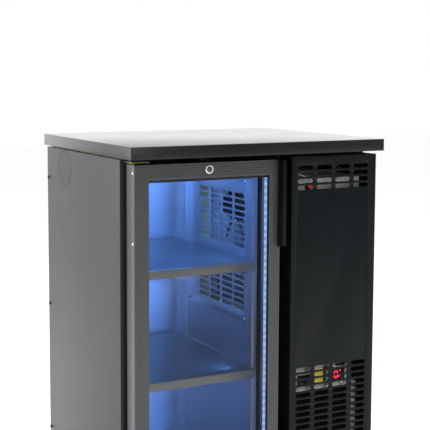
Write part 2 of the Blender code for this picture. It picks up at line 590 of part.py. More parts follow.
STRIKE_Z = (DOOR_Z1 + 0.0012, DOOR_Z1 + 0.0095)
strike = [(STRIKE_Y - STRIKE_T, STRIKE_Z[0]), (STRIKE_Y, STRIKE_Z[0]), (STRIKE_Y, STRIKE_Z[1] - STRIKE_T),
          (CASE_Y0 - GAP, STRIKE_Z[1] - STRIKE_T), (CASE_Y0 - GAP, STRIKE_Z[1]),
          (STRIKE_Y - STRIKE_T, STRIKE_Z[1])]
place("lock_strike", prism(strike, "X", LOCK.x - 0.015, LOCK.x + 0.015), BLACK_COAT)

# ---- machine compartment: front panel, control bracket ------------------------------------
PANEL_X1 = CASE_X1
panel_section = [(MACHINE_X0, PANEL_Y0), (PANEL_X1, PANEL_Y0), (PANEL_X1, CASE_Y0 - GAP),
                 (PANEL_X1 - SHEET, CASE_Y0 - GAP), (PANEL_X1 - SHEET, PANEL_Y0 + SHEET),
                 (MACHINE_X0 + SHEET, PANEL_Y0 + SHEET), (MACHINE_X0 + SHEET, CASE_Y0 - GAP),
                 (MACHINE_X0, CASE_Y0 - GAP)]
panel = place("machine_front_panel", prism(panel_section, "Z", PANEL_Z0, PANEL_Z1), BLACK_COAT)
louvres = bmesh.new()
columns = spread(SLOT_X0, SLOT_COLUMNS, SLOT_PITCH_X)
for first_z, count in ((UPPER_SLOT_Z, UPPER_ROWS), (LOWER_SLOT_Z, LOWER_ROWS)):
    rows = spread(first_z, count, -SLOT_PITCH_Z)
    add_slots(louvres, "Y", PANEL_Y0, columns, rows, (SLOT_L, SLOT_H))
boolean(panel, louvres, "louvre_slots")

BRACKET_X = (MACHINE_X0 + 0.012, LEFT + 0.580)
BRACKET_Y = FRONT + 0.036
BRACKET_Z = (0.3160, 0.3820)
bracket_section = [(BRACKET_Y, BRACKET_Z[0]), (BRACKET_Y + SHEET, BRACKET_Z[0]),
                   (BRACKET_Y + SHEET, BRACKET_Z[1] - SHEET), (BRACKET_Y + 0.060, BRACKET_Z[1] - SHEET),
                   (BRACKET_Y + 0.060, BRACKET_Z[1]), (BRACKET_Y, BRACKET_Z[1])]
bracket = place("control_bracket", prism(bracket_section, "X", *BRACKET_X), GALVANISED)
ROCKER = Vector((LEFT + 0.4520, BRACKET_Y + 0.002, 0.3434))
ROCKER_SIZE = (0.0360, 0.0215)
DISPLAY = Vector((LEFT + 0.5432, BRACKET_Y, 0.3470))
DISPLAY_SIZE = (0.0365, 0.0300)
ROCKER_ROOM = 0.0010
windows = bmesh.new()
for part, size, room in ((ROCKER, ROCKER_SIZE, ROCKER_ROOM), (DISPLAY, DISPLAY_SIZE, GAP)):
    add_box(windows, (part.x - size[0] / 2 - room, BRACKET_Y - CUT, part.z - size[1] / 2 - room),
            (part.x + size[0] / 2 + room, BRACKET_Y + CUT, part.z + size[1] / 2 + room))
boolean(bracket, windows, "bracket_windows")

rocker_axis = pivot("rocker_axis", (ROCKER.x, BRACKET_Y + 0.006, ROCKER.z))
half = ROCKER_SIZE[0] / 2
face_y = BRACKET_Y - 0.0010
rocker = [(ROCKER.x - half, face_y - 0.0022), (ROCKER.x, face_y), (ROCKER.x + half, face_y - 0.0008),
          (ROCKER.x + half * 0.8, BRACKET_Y + 0.009), (ROCKER.x - half * 0.8, BRACKET_Y + 0.009)]
ROCKER_Z = (ROCKER.z - ROCKER_SIZE[1] / 2, ROCKER.z + ROCKER_SIZE[1] / 2)
place("rocker_switch", prism(rocker, "Z", *ROCKER_Z), PLASTIC,
      origin=rocker_axis.location, parent=rocker_axis)
CONTROLLER_Y = (BRACKET_Y - 0.003, BRACKET_Y + 0.055)
controller = box("controller",
                 (DISPLAY.x - DISPLAY_SIZE[0] / 2, CONTROLLER_Y[0], DISPLAY.z - DISPLAY_SIZE[1] / 2),
                 (DISPLAY.x + DISPLAY_SIZE[0] / 2, CONTROLLER_Y[1], DISPLAY.z + DISPLAY_SIZE[1] / 2), PLASTIC)
KEY_L = 0.0110
KEY_H = 0.0070
KEY_TRAVEL = 0.0008
KEY = Vector((DISPLAY.x + 0.0115, BRACKET_Y, DISPLAY.z - 0.0070))
KEY_PROUD = 0.0042
key_pocket = bmesh.new()
add_box(key_pocket, (KEY.x - KEY_L / 2 - GAP, BRACKET_Y - CUT, KEY.z - KEY_H / 2 - GAP),
        (KEY.x + KEY_L / 2 + GAP, BRACKET_Y + 0.002, KEY.z + KEY_H / 2 + GAP))
boolean(controller, key_pocket, "key_pocket")
box("controller_key", (KEY.x - KEY_L / 2, BRACKET_Y - KEY_PROUD, KEY.z - KEY_H / 2),
    (KEY.x + KEY_L / 2, BRACKET_Y + KEY_TRAVEL, KEY.z + KEY_H / 2),
    RUBBER, origin=(KEY.x, BRACKET_Y - KEY_PROUD, KEY.z))

# ---- machine compartment: condensing unit -------------------------------------------------
COND_X = (MACHINE_X0 + 0.014, LEFT + 0.588)
COND_Z = (0.082, 0.326)
COND_Y = (FRONT + 0.042, FRONT + 0.078)


def fin_block(x0, x1, y0, y1, z0, z1, fins):
    """Plan outline of upright fins on a common rear web, pushed up."""
    outline = [(a, y1 + y0 - b) for a, b in comb(x0, x1, y0, y1, fins, 0.004)]
    return prism(outline, "Z", z0, z1)


place("condenser_coil", fin_block(*COND_X, *COND_Y, *COND_Z, 30), FIN_ALU)
FAN_HUB = Vector(((COND_X[0] + COND_X[1]) / 2, COND_Y[1] + 0.038, (COND_Z[0] + COND_Z[1]) / 2))
SHROUD_Y = (COND_Y[1] + GAP, COND_Y[1] + 0.050)
shroud = box("fan_shroud", (COND_X[0], SHROUD_Y[0], COND_Z[0]),
             (COND_X[1], SHROUD_Y[1], COND_Z[1]), GALVANISED)
throat = bmesh.new()
add_cylinder(throat, FAN_HUB, 0.0830, 0.120, "Y", 32)
boolean(shroud, throat, "shroud_throat")
cond_spin = pivot("condenser_fan_axis", FAN_HUB)
fan_blade("condenser_fan_wheel", FAN_HUB, "Y", 0.022, 0.018, 0.0780, 5, FIN_ALU, cond_spin)
motor = bmesh.new()
add_cylinder(motor, FAN_HUB + Vector((0, 0.034, 0)), 0.0300, 0.044, "Y", 24)
place("condenser_fan_motor", motor, COMPRESSOR_PAINT, smooth=True)

COMP = Vector((LEFT + 0.520, FRONT + 0.360, 0.0))
COMP_Z = 0.0440
profile = [(0.000, 0.000), (0.060, 0.000), (0.074, 0.020), (0.078, 0.060), (0.078, 0.085), (0.080, 0.086),
           (0.080, 0.094), (0.078, 0.095), (0.076, 0.130), (0.066, 0.158), (0.040, 0.172), (0.000, 0.176)]
pot = bmesh.new()
chain = [pot.verts.new((COMP.x + r, COMP.y, COMP_Z + z)) for r, z in profile]
edges = [pot.edges.new(pair) for pair in zip(chain, chain[1:])]
bmesh.ops.spin(pot, geom=chain + edges, cent=(COMP.x, COMP.y, 0), axis=(0, 0, 1), angle=2 * math.pi,
               steps=24, use_merge=True)
bmesh.ops.remove_doubles(pot, verts=pot.verts, dist=1e-6)
place("compressor", pot, COMPRESSOR_PAINT, smooth=True)
box("compressor_terminal_box", (COMP.x - 0.028, COMP.y - 0.116, COMP_Z + 0.030),
    (COMP.x + 0.028, COMP.y - 0.0805, COMP_Z + 0.090), PLASTIC)
drier = bmesh.new()
add_cylinder(drier, (LEFT + 0.612, FRONT + 0.230, 0.190), 0.0110, 0.090, "Z", 16)
place("filter_drier", drier, COPPER, smooth=True)


def tube(name, points, radius, mat):
    """A bent tube with closed ends along a smooth path."""
    curve = bpy.data.curves.new(name, "CURVE")
    curve.dimensions = "3D"
    curve.bevel_depth = radius
    curve.bevel_resolution = 2
    curve.use_fill_caps = True
    line = curve.splines.new("POLY")
    line.points.add(len(points) - 1)
    for point, co in zip(line.points, points):
        point.co = (*co, 1.0)
    curve.materials.append(mat)
    obj = bpy.data.objects.new(name, curve)
    bpy.context.scene.collection.objects.link(obj)
    return obj


def bend(centre, radius, start, end, plane, steps=5):
    """Points of an arc in the XZ or YZ plane, angles in degrees."""
    points = []
    for i in range(steps + 1):
        a = math.radians(start + (end - start) * i / steps)
        u = radius * math.cos(a)
        v = radius * math.sin(a)
        points.append((centre[0] + (u if plane == "XZ" else 0.0), centre[1] + (u if plane == "YZ" else 0.0),
                       centre[2] + v))
    return points


BEND_R = 0.020
TUBE_X = COMP.x + 0.030
TUBE_TOP = HOUSING_Z[0] - 0.0350
suction = [(TUBE_X, COMP.y, COMP_Z + 0.1750), (TUBE_X, COMP.y, TUBE_TOP - BEND_R)]
suction += bend((TUBE_X, COMP.y - BEND_R, TUBE_TOP - BEND_R), BEND_R, 0, 90, "YZ")
suction += bend((TUBE_X, COMP.y - 0.060, TUBE_TOP + BEND_R), BEND_R, 270, 180, "YZ")
suction.append((TUBE_X, COMP.y - 0.060 - BEND_R, HOUSING_Z[0] - GAP))
tube("suction_line", suction, 0.0040, COPPER)

inlet = bmesh.new()
add_box(inlet, (LEFT + 0.560, CASE_Y1 + GAP, 0.0560), (LEFT + 0.588, REAR - 0.0005, 0.0840))
place("power_inlet", inlet, PLASTIC)

# ---- levelling feet -----------------------------------------------------------------------
FOOT_R = 0.0190
for (fx, fy), where in zip(FOOT_XY, ("front_left", "front_right", "rear_left", "rear_right")):
    axis = pivot(f"foot_axis_{where}", (fx, fy, 0.0))
    pad = bmesh.new()
    add_cylinder(pad, (fx, fy, 0.0060), FOOT_R, 0.0120, "Z", 24, FOOT_R - 0.003)
    foot = place(f"foot_{where}", pad, PLASTIC, origin=(fx, fy, 0.0), parent=axis)
    stem = bmesh.new()
    add_cylinder(stem, (fx, fy, 0.0300), STEM_R, 0.0400, "Z", 12)
    boolean(foot, stem, f"stem_{where}", "UNION")
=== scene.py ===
"""Looks for the undercounter bottle refrigerator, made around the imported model. Metres, +Z up."""
import math

import bmesh
import bpy
from mathutils import Matrix, Vector


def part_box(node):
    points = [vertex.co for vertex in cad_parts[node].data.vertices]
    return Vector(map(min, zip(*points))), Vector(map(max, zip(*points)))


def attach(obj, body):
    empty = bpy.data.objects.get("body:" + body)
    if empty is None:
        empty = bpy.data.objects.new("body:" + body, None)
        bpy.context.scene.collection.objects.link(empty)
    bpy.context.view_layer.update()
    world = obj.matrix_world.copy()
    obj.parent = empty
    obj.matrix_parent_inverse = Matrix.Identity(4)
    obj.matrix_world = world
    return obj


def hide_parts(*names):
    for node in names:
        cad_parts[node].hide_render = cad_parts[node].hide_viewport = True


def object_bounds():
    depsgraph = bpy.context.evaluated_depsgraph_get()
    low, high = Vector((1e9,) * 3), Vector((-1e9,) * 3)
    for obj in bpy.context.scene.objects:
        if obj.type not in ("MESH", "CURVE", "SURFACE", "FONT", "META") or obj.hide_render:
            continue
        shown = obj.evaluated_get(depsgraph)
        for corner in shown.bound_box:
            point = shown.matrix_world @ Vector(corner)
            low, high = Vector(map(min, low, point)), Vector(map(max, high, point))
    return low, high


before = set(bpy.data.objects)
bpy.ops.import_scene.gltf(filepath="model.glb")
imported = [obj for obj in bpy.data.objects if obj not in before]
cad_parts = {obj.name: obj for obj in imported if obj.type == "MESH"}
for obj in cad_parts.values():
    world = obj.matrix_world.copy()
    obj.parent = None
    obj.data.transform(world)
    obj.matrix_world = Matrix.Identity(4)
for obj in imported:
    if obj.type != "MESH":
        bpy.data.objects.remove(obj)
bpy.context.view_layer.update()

# ---- Studio: a pale floor, soft lights and the camera --------------------------------------
# The floor is a wide plain sheet at the feet's level. One broad light stands at the left, one is
# overhead and a weak one is in front; the room is white, and darker towards the front.
LOW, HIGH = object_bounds()


def linear(code):
    """An sRGB hex colour as linear values."""
    parts = [int(code[i:i + 2], 16) / 255 for i in (1, 3, 5)]
    return [p / 12.92 if p <= 0.04045 else ((p + 0.055) / 1.055) ** 2.4 for p in parts]


def add(tree, kind, values=None, links=None, **settings):
    """Add a node with its settings, socket values and incoming links."""
    node = tree.nodes.new(kind)
    for key, value in settings.items():
        setattr(node, key, value)
    for key, value in (values or {}).items():
        node.inputs[key].default_value = value
    for key, source in (links or {}).items():
        tree.links.new(source, node.inputs[key])
    return node


def finish(name, dark, light, rough, metal=0.0, patch=0.02, stretch=(1, 1, 1), spread=0.04, relief=0.000003,
           grit=None, pattern="ShaderNodeTexNoise", **extra):
    """A surface finish. A pattern `patch` metres across mixes two sRGB colours and moves the
    roughness by `spread`; it, or a noise `grit` metres across, lifts the surface by `relief`."""
    mat = bpy.data.materials.new(name)
    mat.use_nodes = True
    tree = mat.node_tree
    shader = tree.nodes["Principled BSDF"]
    where = add(tree, "ShaderNodeTexCoord")
    drawn = add(tree, "ShaderNodeMapping", {"Scale": stretch}, {"Vector": where.outputs["Object"]})
    cells = add(tree, pattern, {"Scale": 1 / patch}, {"Vector": drawn.outputs["Vector"]})
    amount = cells.outputs["Color" if "Voronoi" in pattern else "Fac"]
    colour = add(tree, "ShaderNodeMix", {}, {"Factor": amount}, data_type="RGBA")
    colour.inputs["A"].default_value = (*linear(dark), 1)
    colour.inputs["B"].default_value = (*linear(light), 1)
    sheen = add(tree, "ShaderNodeMapRange", {"From Min": 0.3, "From Max": 0.7, "To Min": rough - spread,
                                             "To Max": rough + spread}, {"Value": amount})
    if grit:
        fine = add(tree, "ShaderNodeTexNoise", {"Scale": 1 / grit}, {"Vector": where.outputs["Object"]})
        amount = fine.outputs["Fac"]
    lift = add(tree, "ShaderNodeBump", {"Strength": 1.0, "Distance": relief}, {"Height": amount})
    tree.links.new(colour.outputs["Result"], shader.inputs["Base Color"])
    tree.links.new(sheen.outputs["Result"], shader.inputs["Roughness"])
    tree.links.new(lift.outputs["Normal"], shader.inputs["Normal"])
    shader.inputs["Metallic"].default_value = metal
    for key, value in extra.items():
        shader.inputs[key.replace("_", " ")].default_value = (*linear(value), 1) if "Color" in key else value
    return mat


def stage_object(name, bm, mat):
    mesh = bpy.data.meshes.new(name)
    bm.to_mesh(mesh)
    bm.free()
    mesh.materials.append(mat)
    obj = bpy.data.objects.new(name, mesh)
    bpy.context.scene.collection.objects.link(obj)
    return obj


# Matt white studio paper: nearly even, with a faint broad mottling.
floor_paint = finish("pale_floor", "#F1F1F1", "#F3F3F3", 0.75, patch=0.4)
bm = bmesh.new()
bmesh.ops.create_grid(bm, x_segments=1, y_segments=1, size=12.0)
bmesh.ops.translate(bm, verts=bm.verts, vec=(0, 0, -0.0005))
stage_object("floor", bm, floor_paint)

world = bpy.data.worlds.new("white_room")
bpy.context.scene.world = world
world.use_nodes = True
room = world.node_tree
DARK_SIDE, WHITE_SIDE = 0.22, 1.55
direction = add(room, "ShaderNodeTexCoord")
split = add(room, "ShaderNodeSeparateXYZ", {}, {"Vector": direction.outputs["Generated"]})
fade = add(room, "ShaderNodeMapRange", {"From Min": -0.75, "From Max": 0.35, "To Min": DARK_SIDE,
                                        "To Max": WHITE_SIDE},
           {"Value": split.outputs["Y"]}, interpolation_type="SMOOTHSTEP")
seen = add(room, "ShaderNodeLightPath")
level = add(room, "ShaderNodeMix", {"B": 1.0}, {"Factor": seen.outputs["Is Camera Ray"],
                                               "A": fade.outputs["Result"]})
room.links.new(level.outputs["Result"], room.nodes["Background"].inputs["Strength"])
room.nodes["Background"].inputs["Color"].default_value = (1, 1, 1, 1)


def softbox(name, at, aim, size, power, colour=(1, 1, 1)):
    """A square area light turned towards a point."""
    data = bpy.data.lights.new(name, "AREA")
    data.energy = power
    data.shape = "RECTANGLE"
    data.size, data.size_y = size
    data.color = colour
    obj = bpy.data.objects.new(name, data)
    bpy.context.scene.collection.objects.link(obj)
    obj.location = at
    obj.rotation_euler = (Vector(aim) - Vector(at)).to_track_quat("-Z", "Y").to_euler()
    return obj


softbox("left_softbox", (-2.6, 0.9, 1.3), (-0.3, 0, 0.5), (2.2, 2.2), 55)
softbox("top_softbox", (0.2, 0.2, 3.2), (0, 0, 0.5), (3.5, 3.5), 60)
softbox("front_softbox", (-0.4, -3.2, 1.6), (0, 0, 0.5), (1.6, 1.6), 8)

CORNER = Vector((LOW.x, LOW.y, HIGH.z))           # front left corner of the worktop
FROM_CORNER = (-0.8520, -1.9410, 0.1517)
LENS_MM, SENSOR_MM, SHIFT = 86.95256, 36.0, 0.1046512
DIP, TURN = 5.34, 25.87                           # degrees down, and round to the left side
camera_data = bpy.data.cameras.new("camera")
camera_data.sensor_width = SENSOR_MM
camera_data.lens = LENS_MM
camera_data.shift_x = SHIFT
camera_data.shift_y = -SHIFT
camera = bpy.data.objects.new("camera", camera_data)
bpy.context.scene.collection.objects.link(camera)
camera.location = CORNER + Vector(FROM_CORNER)
camera.rotation_euler = (math.radians(90 - DIP), 0, math.radians(-TURN))
bpy.context.scene.camera = camera
bpy.context.scene.view_settings.view_transform = "Standard"

# ---- Worktop: one folded steel tray, powder coated satin black -----------------------------
# The top sheet turns down at all four edges with a small fold radius, and a small black plug
# fills each of the fixing holes near its side and rear edges.


def powder_coat(name, dark, light, rough, peel=0.00002, **extra):
    """Baked polyester powder: satin, with a fine orange peel that breaks up reflections."""
    return finish(name, dark, light, rough, patch=0.09, relief=peel, grit=0.0016, spread=0.012, **extra)


def shape(name, bm, mat, body, nodes=(), angle=35, clean=True):
    """Turn a bmesh into a finished piece that rides on a body and may stand for CAD nodes."""
    if clean:
        bmesh.ops.remove_doubles(bm, verts=bm.verts, dist=1e-6)
        bmesh.ops.recalc_face_normals(bm, faces=bm.faces)
    mesh = bpy.data.meshes.new(name)
    bm.to_mesh(mesh)
    bm.free()
    mesh.materials.append(mat)
    mesh.shade_smooth()
    mesh.set_sharp_from_angle(angle=math.radians(angle))
    obj = bpy.data.objects.new(name, mesh)
    bpy.context.scene.collection.objects.link(obj)
    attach(obj, body)
    if nodes:
        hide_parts(*nodes)
    return obj


def add_box(bm, low, high):
    """Add a box between two corners."""
    low, high = Vector(low), Vector(high)
    size = Matrix.Diagonal((*(high - low), 1.0))
    bmesh.ops.create_cube(bm, size=1.0, matrix=Matrix.Translation((low + high) / 2) @ size)


def bevel(bm, width, segments=2):
    """Round the edges that turn by more than 30 degrees."""
    edges = [e for e in bm.edges if len(e.link_faces) == 2 and e.calc_face_angle(0) > math.radians(30)]
    bmesh.ops.bevel(bm, geom=edges, offset=width, offset_type="OFFSET", segments=segments,
                    profile=0.5, affect="EDGES", clamp_overlap=True, material=-1)


def lathe(bm, profile, at, axis, steps=32):
    """Turn a profile of (radius, height) pairs about an axis through a point."""
    turn = {"X": Matrix.Rotation(math.radians(90), 4, "Y"), "Z": Matrix.Identity(4),
            "-X": Matrix.Rotation(math.radians(-90), 4, "Y"),
            "-Y": Matrix.Rotation(math.radians(90), 4, "X"),
            "Y": Matrix.Rotation(math.radians(-90), 4, "X"),
            "-Z": Matrix.Rotation(math.radians(180), 4, "X")}[axis]
    part = bmesh.new()
    line = [part.verts.new((r, 0, h)) for r, h in profile]
    edges = [part.edges.new(pair) for pair in zip(line, line[1:])]
    bmesh.ops.spin(part, geom=line + edges, cent=(0, 0, 0), axis=(0, 0, 1), angle=2 * math.pi,
                   steps=steps, use_merge=True)
    bmesh.ops.remove_doubles(part, verts=part.verts, dist=1e-7)
    bmesh.ops.recalc_face_normals(part, faces=part.faces)
    bmesh.ops.transform(part, matrix=Matrix.Translation(Vector(at)) @ turn, verts=part.verts)
    absorb(bm, part)


def absorb(bm, part):
    """Add one bmesh to another."""
    mesh = bpy.data.meshes.new("part")
    part.to_mesh(mesh)
    part.free()
    bm.from_mesh(mesh)
    bpy.data.meshes.remove(mesh)


case_coat = powder_coat("satin_black_powder_coat", "#191C1E", "#1D2022", 0.42)
# The worktop is rubbed smoother, so its top mirrors the room.
top_coat = powder_coat("satin_black_worktop_coat", "#1B1D1F", "#1F2224", 0.20, 0.000004)
low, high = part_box("worktop")
SKIN = 0.0012                                     # thickness of the painted sheets
TOP_FOLD = 0.0013
bm = bmesh.new()
add_box(bm, low, high)
under = [f for f in bm.faces if f.normal.z < -0.9]
bmesh.ops.inset_region(bm, faces=under, thickness=SKIN, use_even_offset=True)
bmesh.ops.translate(bm, verts=under[0].verts, vec=(0, 0, high.z - low.z - SKIN))
bevel(bm, TOP_FOLD, 3)
shape("worktop_tray", bm, top_coat, "cabinet", ["worktop"])

# Dull black nylon.
plug_plastic = finish("black_nylon", "#0C0D0E", "#121314", 0.5, patch=0.002)
PLUG_EDGE, PLUG_REAR = 0.014, 0.035               # plugs to the side edges and to the rear edge
PLUG_Y, PLUG_X = (0.235, -0.010, -0.106), (-0.081, 0.103)
plugs = [(side, y) for side in (low.x + PLUG_EDGE, high.x - PLUG_EDGE) for y in PLUG_Y]
plugs += [(x, high.y - PLUG_REAR) for x in PLUG_X]
bm = bmesh.new()
for x, y in plugs:
    lathe(bm, [(0.0, 0.0), (0.0046, -0.0002), (0.0056, -0.0010), (0.0, -0.0010)], (x, y, high.z), "Z", 20)
shape("worktop_hole_plugs", bm, plug_plastic, "cabinet")

# ---- Side panels, knock-out disc and kick plate --------------------------------------------
# Each side is one steel sheet with its front and rear edges folded in. The disc near the top of
# the left side is a service knock-out, held by its paint line. Black screws fix the rear edge.


def folded_side(node, inward):
    """A sheet panel with returns at front and rear, and a rounded fold."""
    low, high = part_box(node)
    outer = low.x if inward > 0 else high.x
    tip = high.x if inward > 0 else low.x
    bm = bmesh.new()
    outline = [(outer, low.y), (tip, low.y), (tip, low.y + SKIN), (outer + inward * SKIN, low.y + SKIN),
               (outer + inward * SKIN, high.y - SKIN), (tip, high.y - SKIN), (tip, high.y), (outer, high.y)]
    face = bm.faces.new([bm.verts.new((x, y, low.z)) for x, y in outline])
    pushed = bmesh.ops.extrude_face_region(bm, geom=[face])
    moved = [g for g in pushed["geom"] if isinstance(g, bmesh.types.BMVert)]
    bmesh.ops.translate(bm, verts=moved, vec=(0, 0, high.z - low.z))
    folds = [e for e in bm.edges if abs(e.verts[0].co.z - e.verts[1].co.z) > 0.1
             and abs(e.verts[0].co.x - outer) < 1e-6]
    bmesh.ops.bevel(bm, geom=folds, offset=0.0011, offset_type="OFFSET", segments=3, profile=0.5,
                    affect="EDGES", clamp_overlap=True, material=-1)
    return bm, outer


def pan_screw(bm, at, axis, radius):
    """A pan head with a round dimple at its centre, standing proud along an axis."""
    lathe(bm, [(0.0, radius * 0.30), (radius * 0.22, radius * 0.62), (radius * 0.55, radius * 0.55),
               (radius * 0.88, radius * 0.32), (radius, 0.0)], at, axis, 16)


bm, outer_x = folded_side("left_side_panel", 1)
shape("left_side_sheet", bm, case_coat, "cabinet", ["left_side_panel"])
bm, right_x = folded_side("right_side_panel", -1)
shape("right_side_sheet", bm, case_coat, "cabinet", ["right_side_panel"])

low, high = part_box("knockout_disc")
disc_at = (low + high) / 2
disc_r = (high.z - low.z) / 2
# Paint gathered in the cut line, matt and darker than the panel.
seam_paint = finish("knockout_paint_line", "#050606", "#0A0B0B", 0.6, patch=0.003)
bm = bmesh.new()
LINE = 0.0016                                     # width of the paint line
lathe(bm, [(disc_r - LINE, 0.0), (disc_r - LINE, 0.0004), (disc_r, 0.0004), (disc_r, 0.0)],
      (outer_x + 0.0002, disc_at.y, disc_at.z), "-X", 72)
shape("knockout_seam", bm, seam_paint, "cabinet")
bm = bmesh.new()
lathe(bm, [(0.0, 0.0003), (disc_r - LINE - 0.0004, 0.0003), (disc_r - LINE, 0.0)],
      (outer_x + 0.0001, disc_at.y, disc_at.z), "-X", 72)
shape("knockout_disc_skin", bm, case_coat, "cabinet", ["knockout_disc"])

# Blackened steel with a slight metallic glint.
black_screw = finish("black_oxide_screw", "#0D0E10", "#141517", 0.35, 0.6, patch=0.002)
side_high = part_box("left_side_panel")[1]
SCREW_IN, SCREW_Z = 0.008, (0.7918, 0.4700, 0.1490)
bm = bmesh.new()
for z in SCREW_Z:
    pan_screw(bm, (outer_x, side_high.y - SCREW_IN, z), "-X", 0.0046)
    pan_screw(bm, (right_x, side_high.y - SCREW_IN, z), "X", 0.0046)
shape("side_panel_screws", bm, black_screw, "cabinet")

low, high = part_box("kick_plate")
bm = bmesh.new()
add_box(bm, low, high)
bevel(bm, 0.0005, 2)
shape("kick_plate_sheet", bm, case_coat, "cabinet", ["kick_plate"])

# ---- Machine compartment panel: punched steel, powder coated near black ---------------------
# One sheet with returned side edges. Rows of round-ended slots are punched at the top for hot
# air and over the lower half for the condenser. The punch leaves a slightly rounded lip.
panel_coat = powder_coat("satin_black_panel_coat", "#0E1416", "#13191C", 0.42, Specular_IOR_Level=0.18)


def punched_sheet(size, holes, thickness, rounding):
    """A flat sheet in its own plane, corner at the origin, with round-ended slots punched in."""
    curve = bpy.data.curves.new("punched", "CURVE")
    curve.dimensions = "2D"
    curve.fill_mode = "BOTH"
    curve.extrude = thickness / 2 - rounding
    curve.bevel_depth = rounding
    curve.bevel_resolution = 1
    curve.offset = -rounding
    outlines = [[(0, 0), (size[0], 0), (size[0], size[1]), (0, size[1])]]
    for x, y, length, height in holes:
        r = height / 2
        ends = []
        for side, start in ((1, -90), (-1, 90)):
            for i in range(9):
                a = math.radians(start + i * 22.5)
                ends.append((x + side * (length / 2 - r) + r * math.cos(a), y + r * math.sin(a)))
        outlines.append(ends)
    for outline in outlines:
        line = curve.splines.new("POLY")
        line.points.add(len(outline) - 1)
        line.use_cyclic_u = True
        for point, (x, y) in zip(line.points, outline):
            point.co = (x, y, 0, 1)
    obj = bpy.data.objects.new("punched", curve)
    bpy.context.scene.collection.objects.link(obj)
    bpy.context.view_layer.update()
    mesh = bpy.data.meshes.new_from_object(obj.evaluated_get(bpy.context.evaluated_depsgraph_get()))
    bm = bmesh.new()
    bm.from_mesh(mesh)
    bpy.data.objects.remove(obj)
    bpy.data.curves.remove(curve)
    bpy.data.meshes.remove(mesh)
    return bm


UPRIGHT_PLANE = Matrix.Rotation(math.radians(90), 4, "X")     # sheet X to world X, sheet Y to world Z
panel_low, panel_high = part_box("machine_front_panel")
SLOT_L, SLOT_H = 0.0405, 0.0098
STEP_X, STEP_Z = 0.0505, 0.0150
FIRST_X = LOW.x + 0.4399                          # middle of the first column
COLUMNS = 4
SLOT_BANKS = ((0.8387, 4), (0.3736, 18))          # height of a bank's first row, and its rows
slots = []
for first_z, rows in SLOT_BANKS:
    for row in range(rows):
        for column in range(COLUMNS):
            slots.append((FIRST_X + column * STEP_X - panel_low.x, first_z - row * STEP_Z - panel_low.z,
                          SLOT_L, SLOT_H))
bm = punched_sheet((panel_high.x - panel_low.x, panel_high.z - panel_low.z), slots, SKIN, 0.0004)
place = Matrix.Translation((panel_low.x, panel_low.y + SKIN / 2, panel_low.z)) @ UPRIGHT_PLANE
bmesh.ops.transform(bm, matrix=place, verts=bm.verts)
for x in (panel_low.x, panel_high.x - SKIN):
    add_box(bm, (x, panel_low.y + 0.0006, panel_low.z + 0.0004),
            (x + SKIN, panel_high.y, panel_high.z - 0.0004))
shape("machine_panel_sheet", bm, panel_coat, "cabinet", ["machine_front_panel"])

# ---- Control bracket behind the lower slots -------------------------------------------------
# A galvanised steel bracket holds the rocker switch, a nylon terminal block, the controller with
# its lit red figure and key, and a plain yellow label. Two zinc-plated screws hold it.


def galvanised(name, dark, light, cell, metal=0.85):
    """Hot-dip zinc: dull grey with crystals of different brightness."""
    return finish(name, dark, light, 0.42, metal, cell, spread=0.06, pattern="ShaderNodeTexVoronoi")


zinc_sheet = galvanised("galvanised_sheet", "#9A9B95", "#AAABA4", 0.009)
# A lighter, less metallic copy of the galvanised sheet: painted light, so that the housing in the worktop's
# shade shows as bright as the lit bracket below.
zinc_painted_light = galvanised("galvanised_sheet_painted_light", "#C9C9C0", "#F2F2EA", 0.012, 0.25)


def carry(name, node, mat, body, width=0.0004, segments=2, angle=30):
    """A CAD node's shape, merged, with its edges eased, shown in place of the node."""
    bm = bmesh.new()
    bm.from_mesh(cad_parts[node].data)
    bmesh.ops.remove_doubles(bm, verts=bm.verts, dist=1e-5)
    bmesh.ops.dissolve_limit(bm, angle_limit=math.radians(0.5), verts=bm.verts, edges=bm.edges)
    if width:
        bevel(bm, width, segments)
    return shape(name, bm, mat, body, [node], angle, clean=False)


carry("control_bracket_sheet", "control_bracket", zinc_sheet, "cabinet", 0.0002)
face_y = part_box("control_bracket")[0].y
# Bright zinc plating, a little cloudy.
steel_screw = finish("bright_zinc_screw", "#CFD1CC", "#E2E4DF", 0.25, 1.0, patch=0.003)
bm = bmesh.new()
BRACKET_SCREWS = ((0.1158, 0.3245), (0.2370, 0.3270))
for x, z in BRACKET_SCREWS:
    pan_screw(bm, (x, face_y, z), "-Y", 0.0044)
shape("bracket_screws", bm, steel_screw, "cabinet")

# Plain coated label paper, slightly uneven in its yellow.
label_paper = finish("yellow_label", "#DCC92C", "#F6E655", 0.45, patch=0.004)
LABEL = ((0.1560, 0.3340), (0.1840, 0.3665))      # lower left and upper right corners
bm = bmesh.new()
add_box(bm, (LABEL[0][0], face_y - 0.0004, LABEL[0][1]), (LABEL[1][0], face_y - 0.0001, LABEL[1][1]))
shape("plain_yellow_label", bm, label_paper, "cabinet")

# Moulded plastic with a soft sheen and a fine spark grain.
black_abs = finish("moulded_black_abs", "#090A0B", "#0D0E0F", 0.38, patch=0.03, relief=0.00001, grit=0.0008,
                   Specular_IOR_Level=0.3)
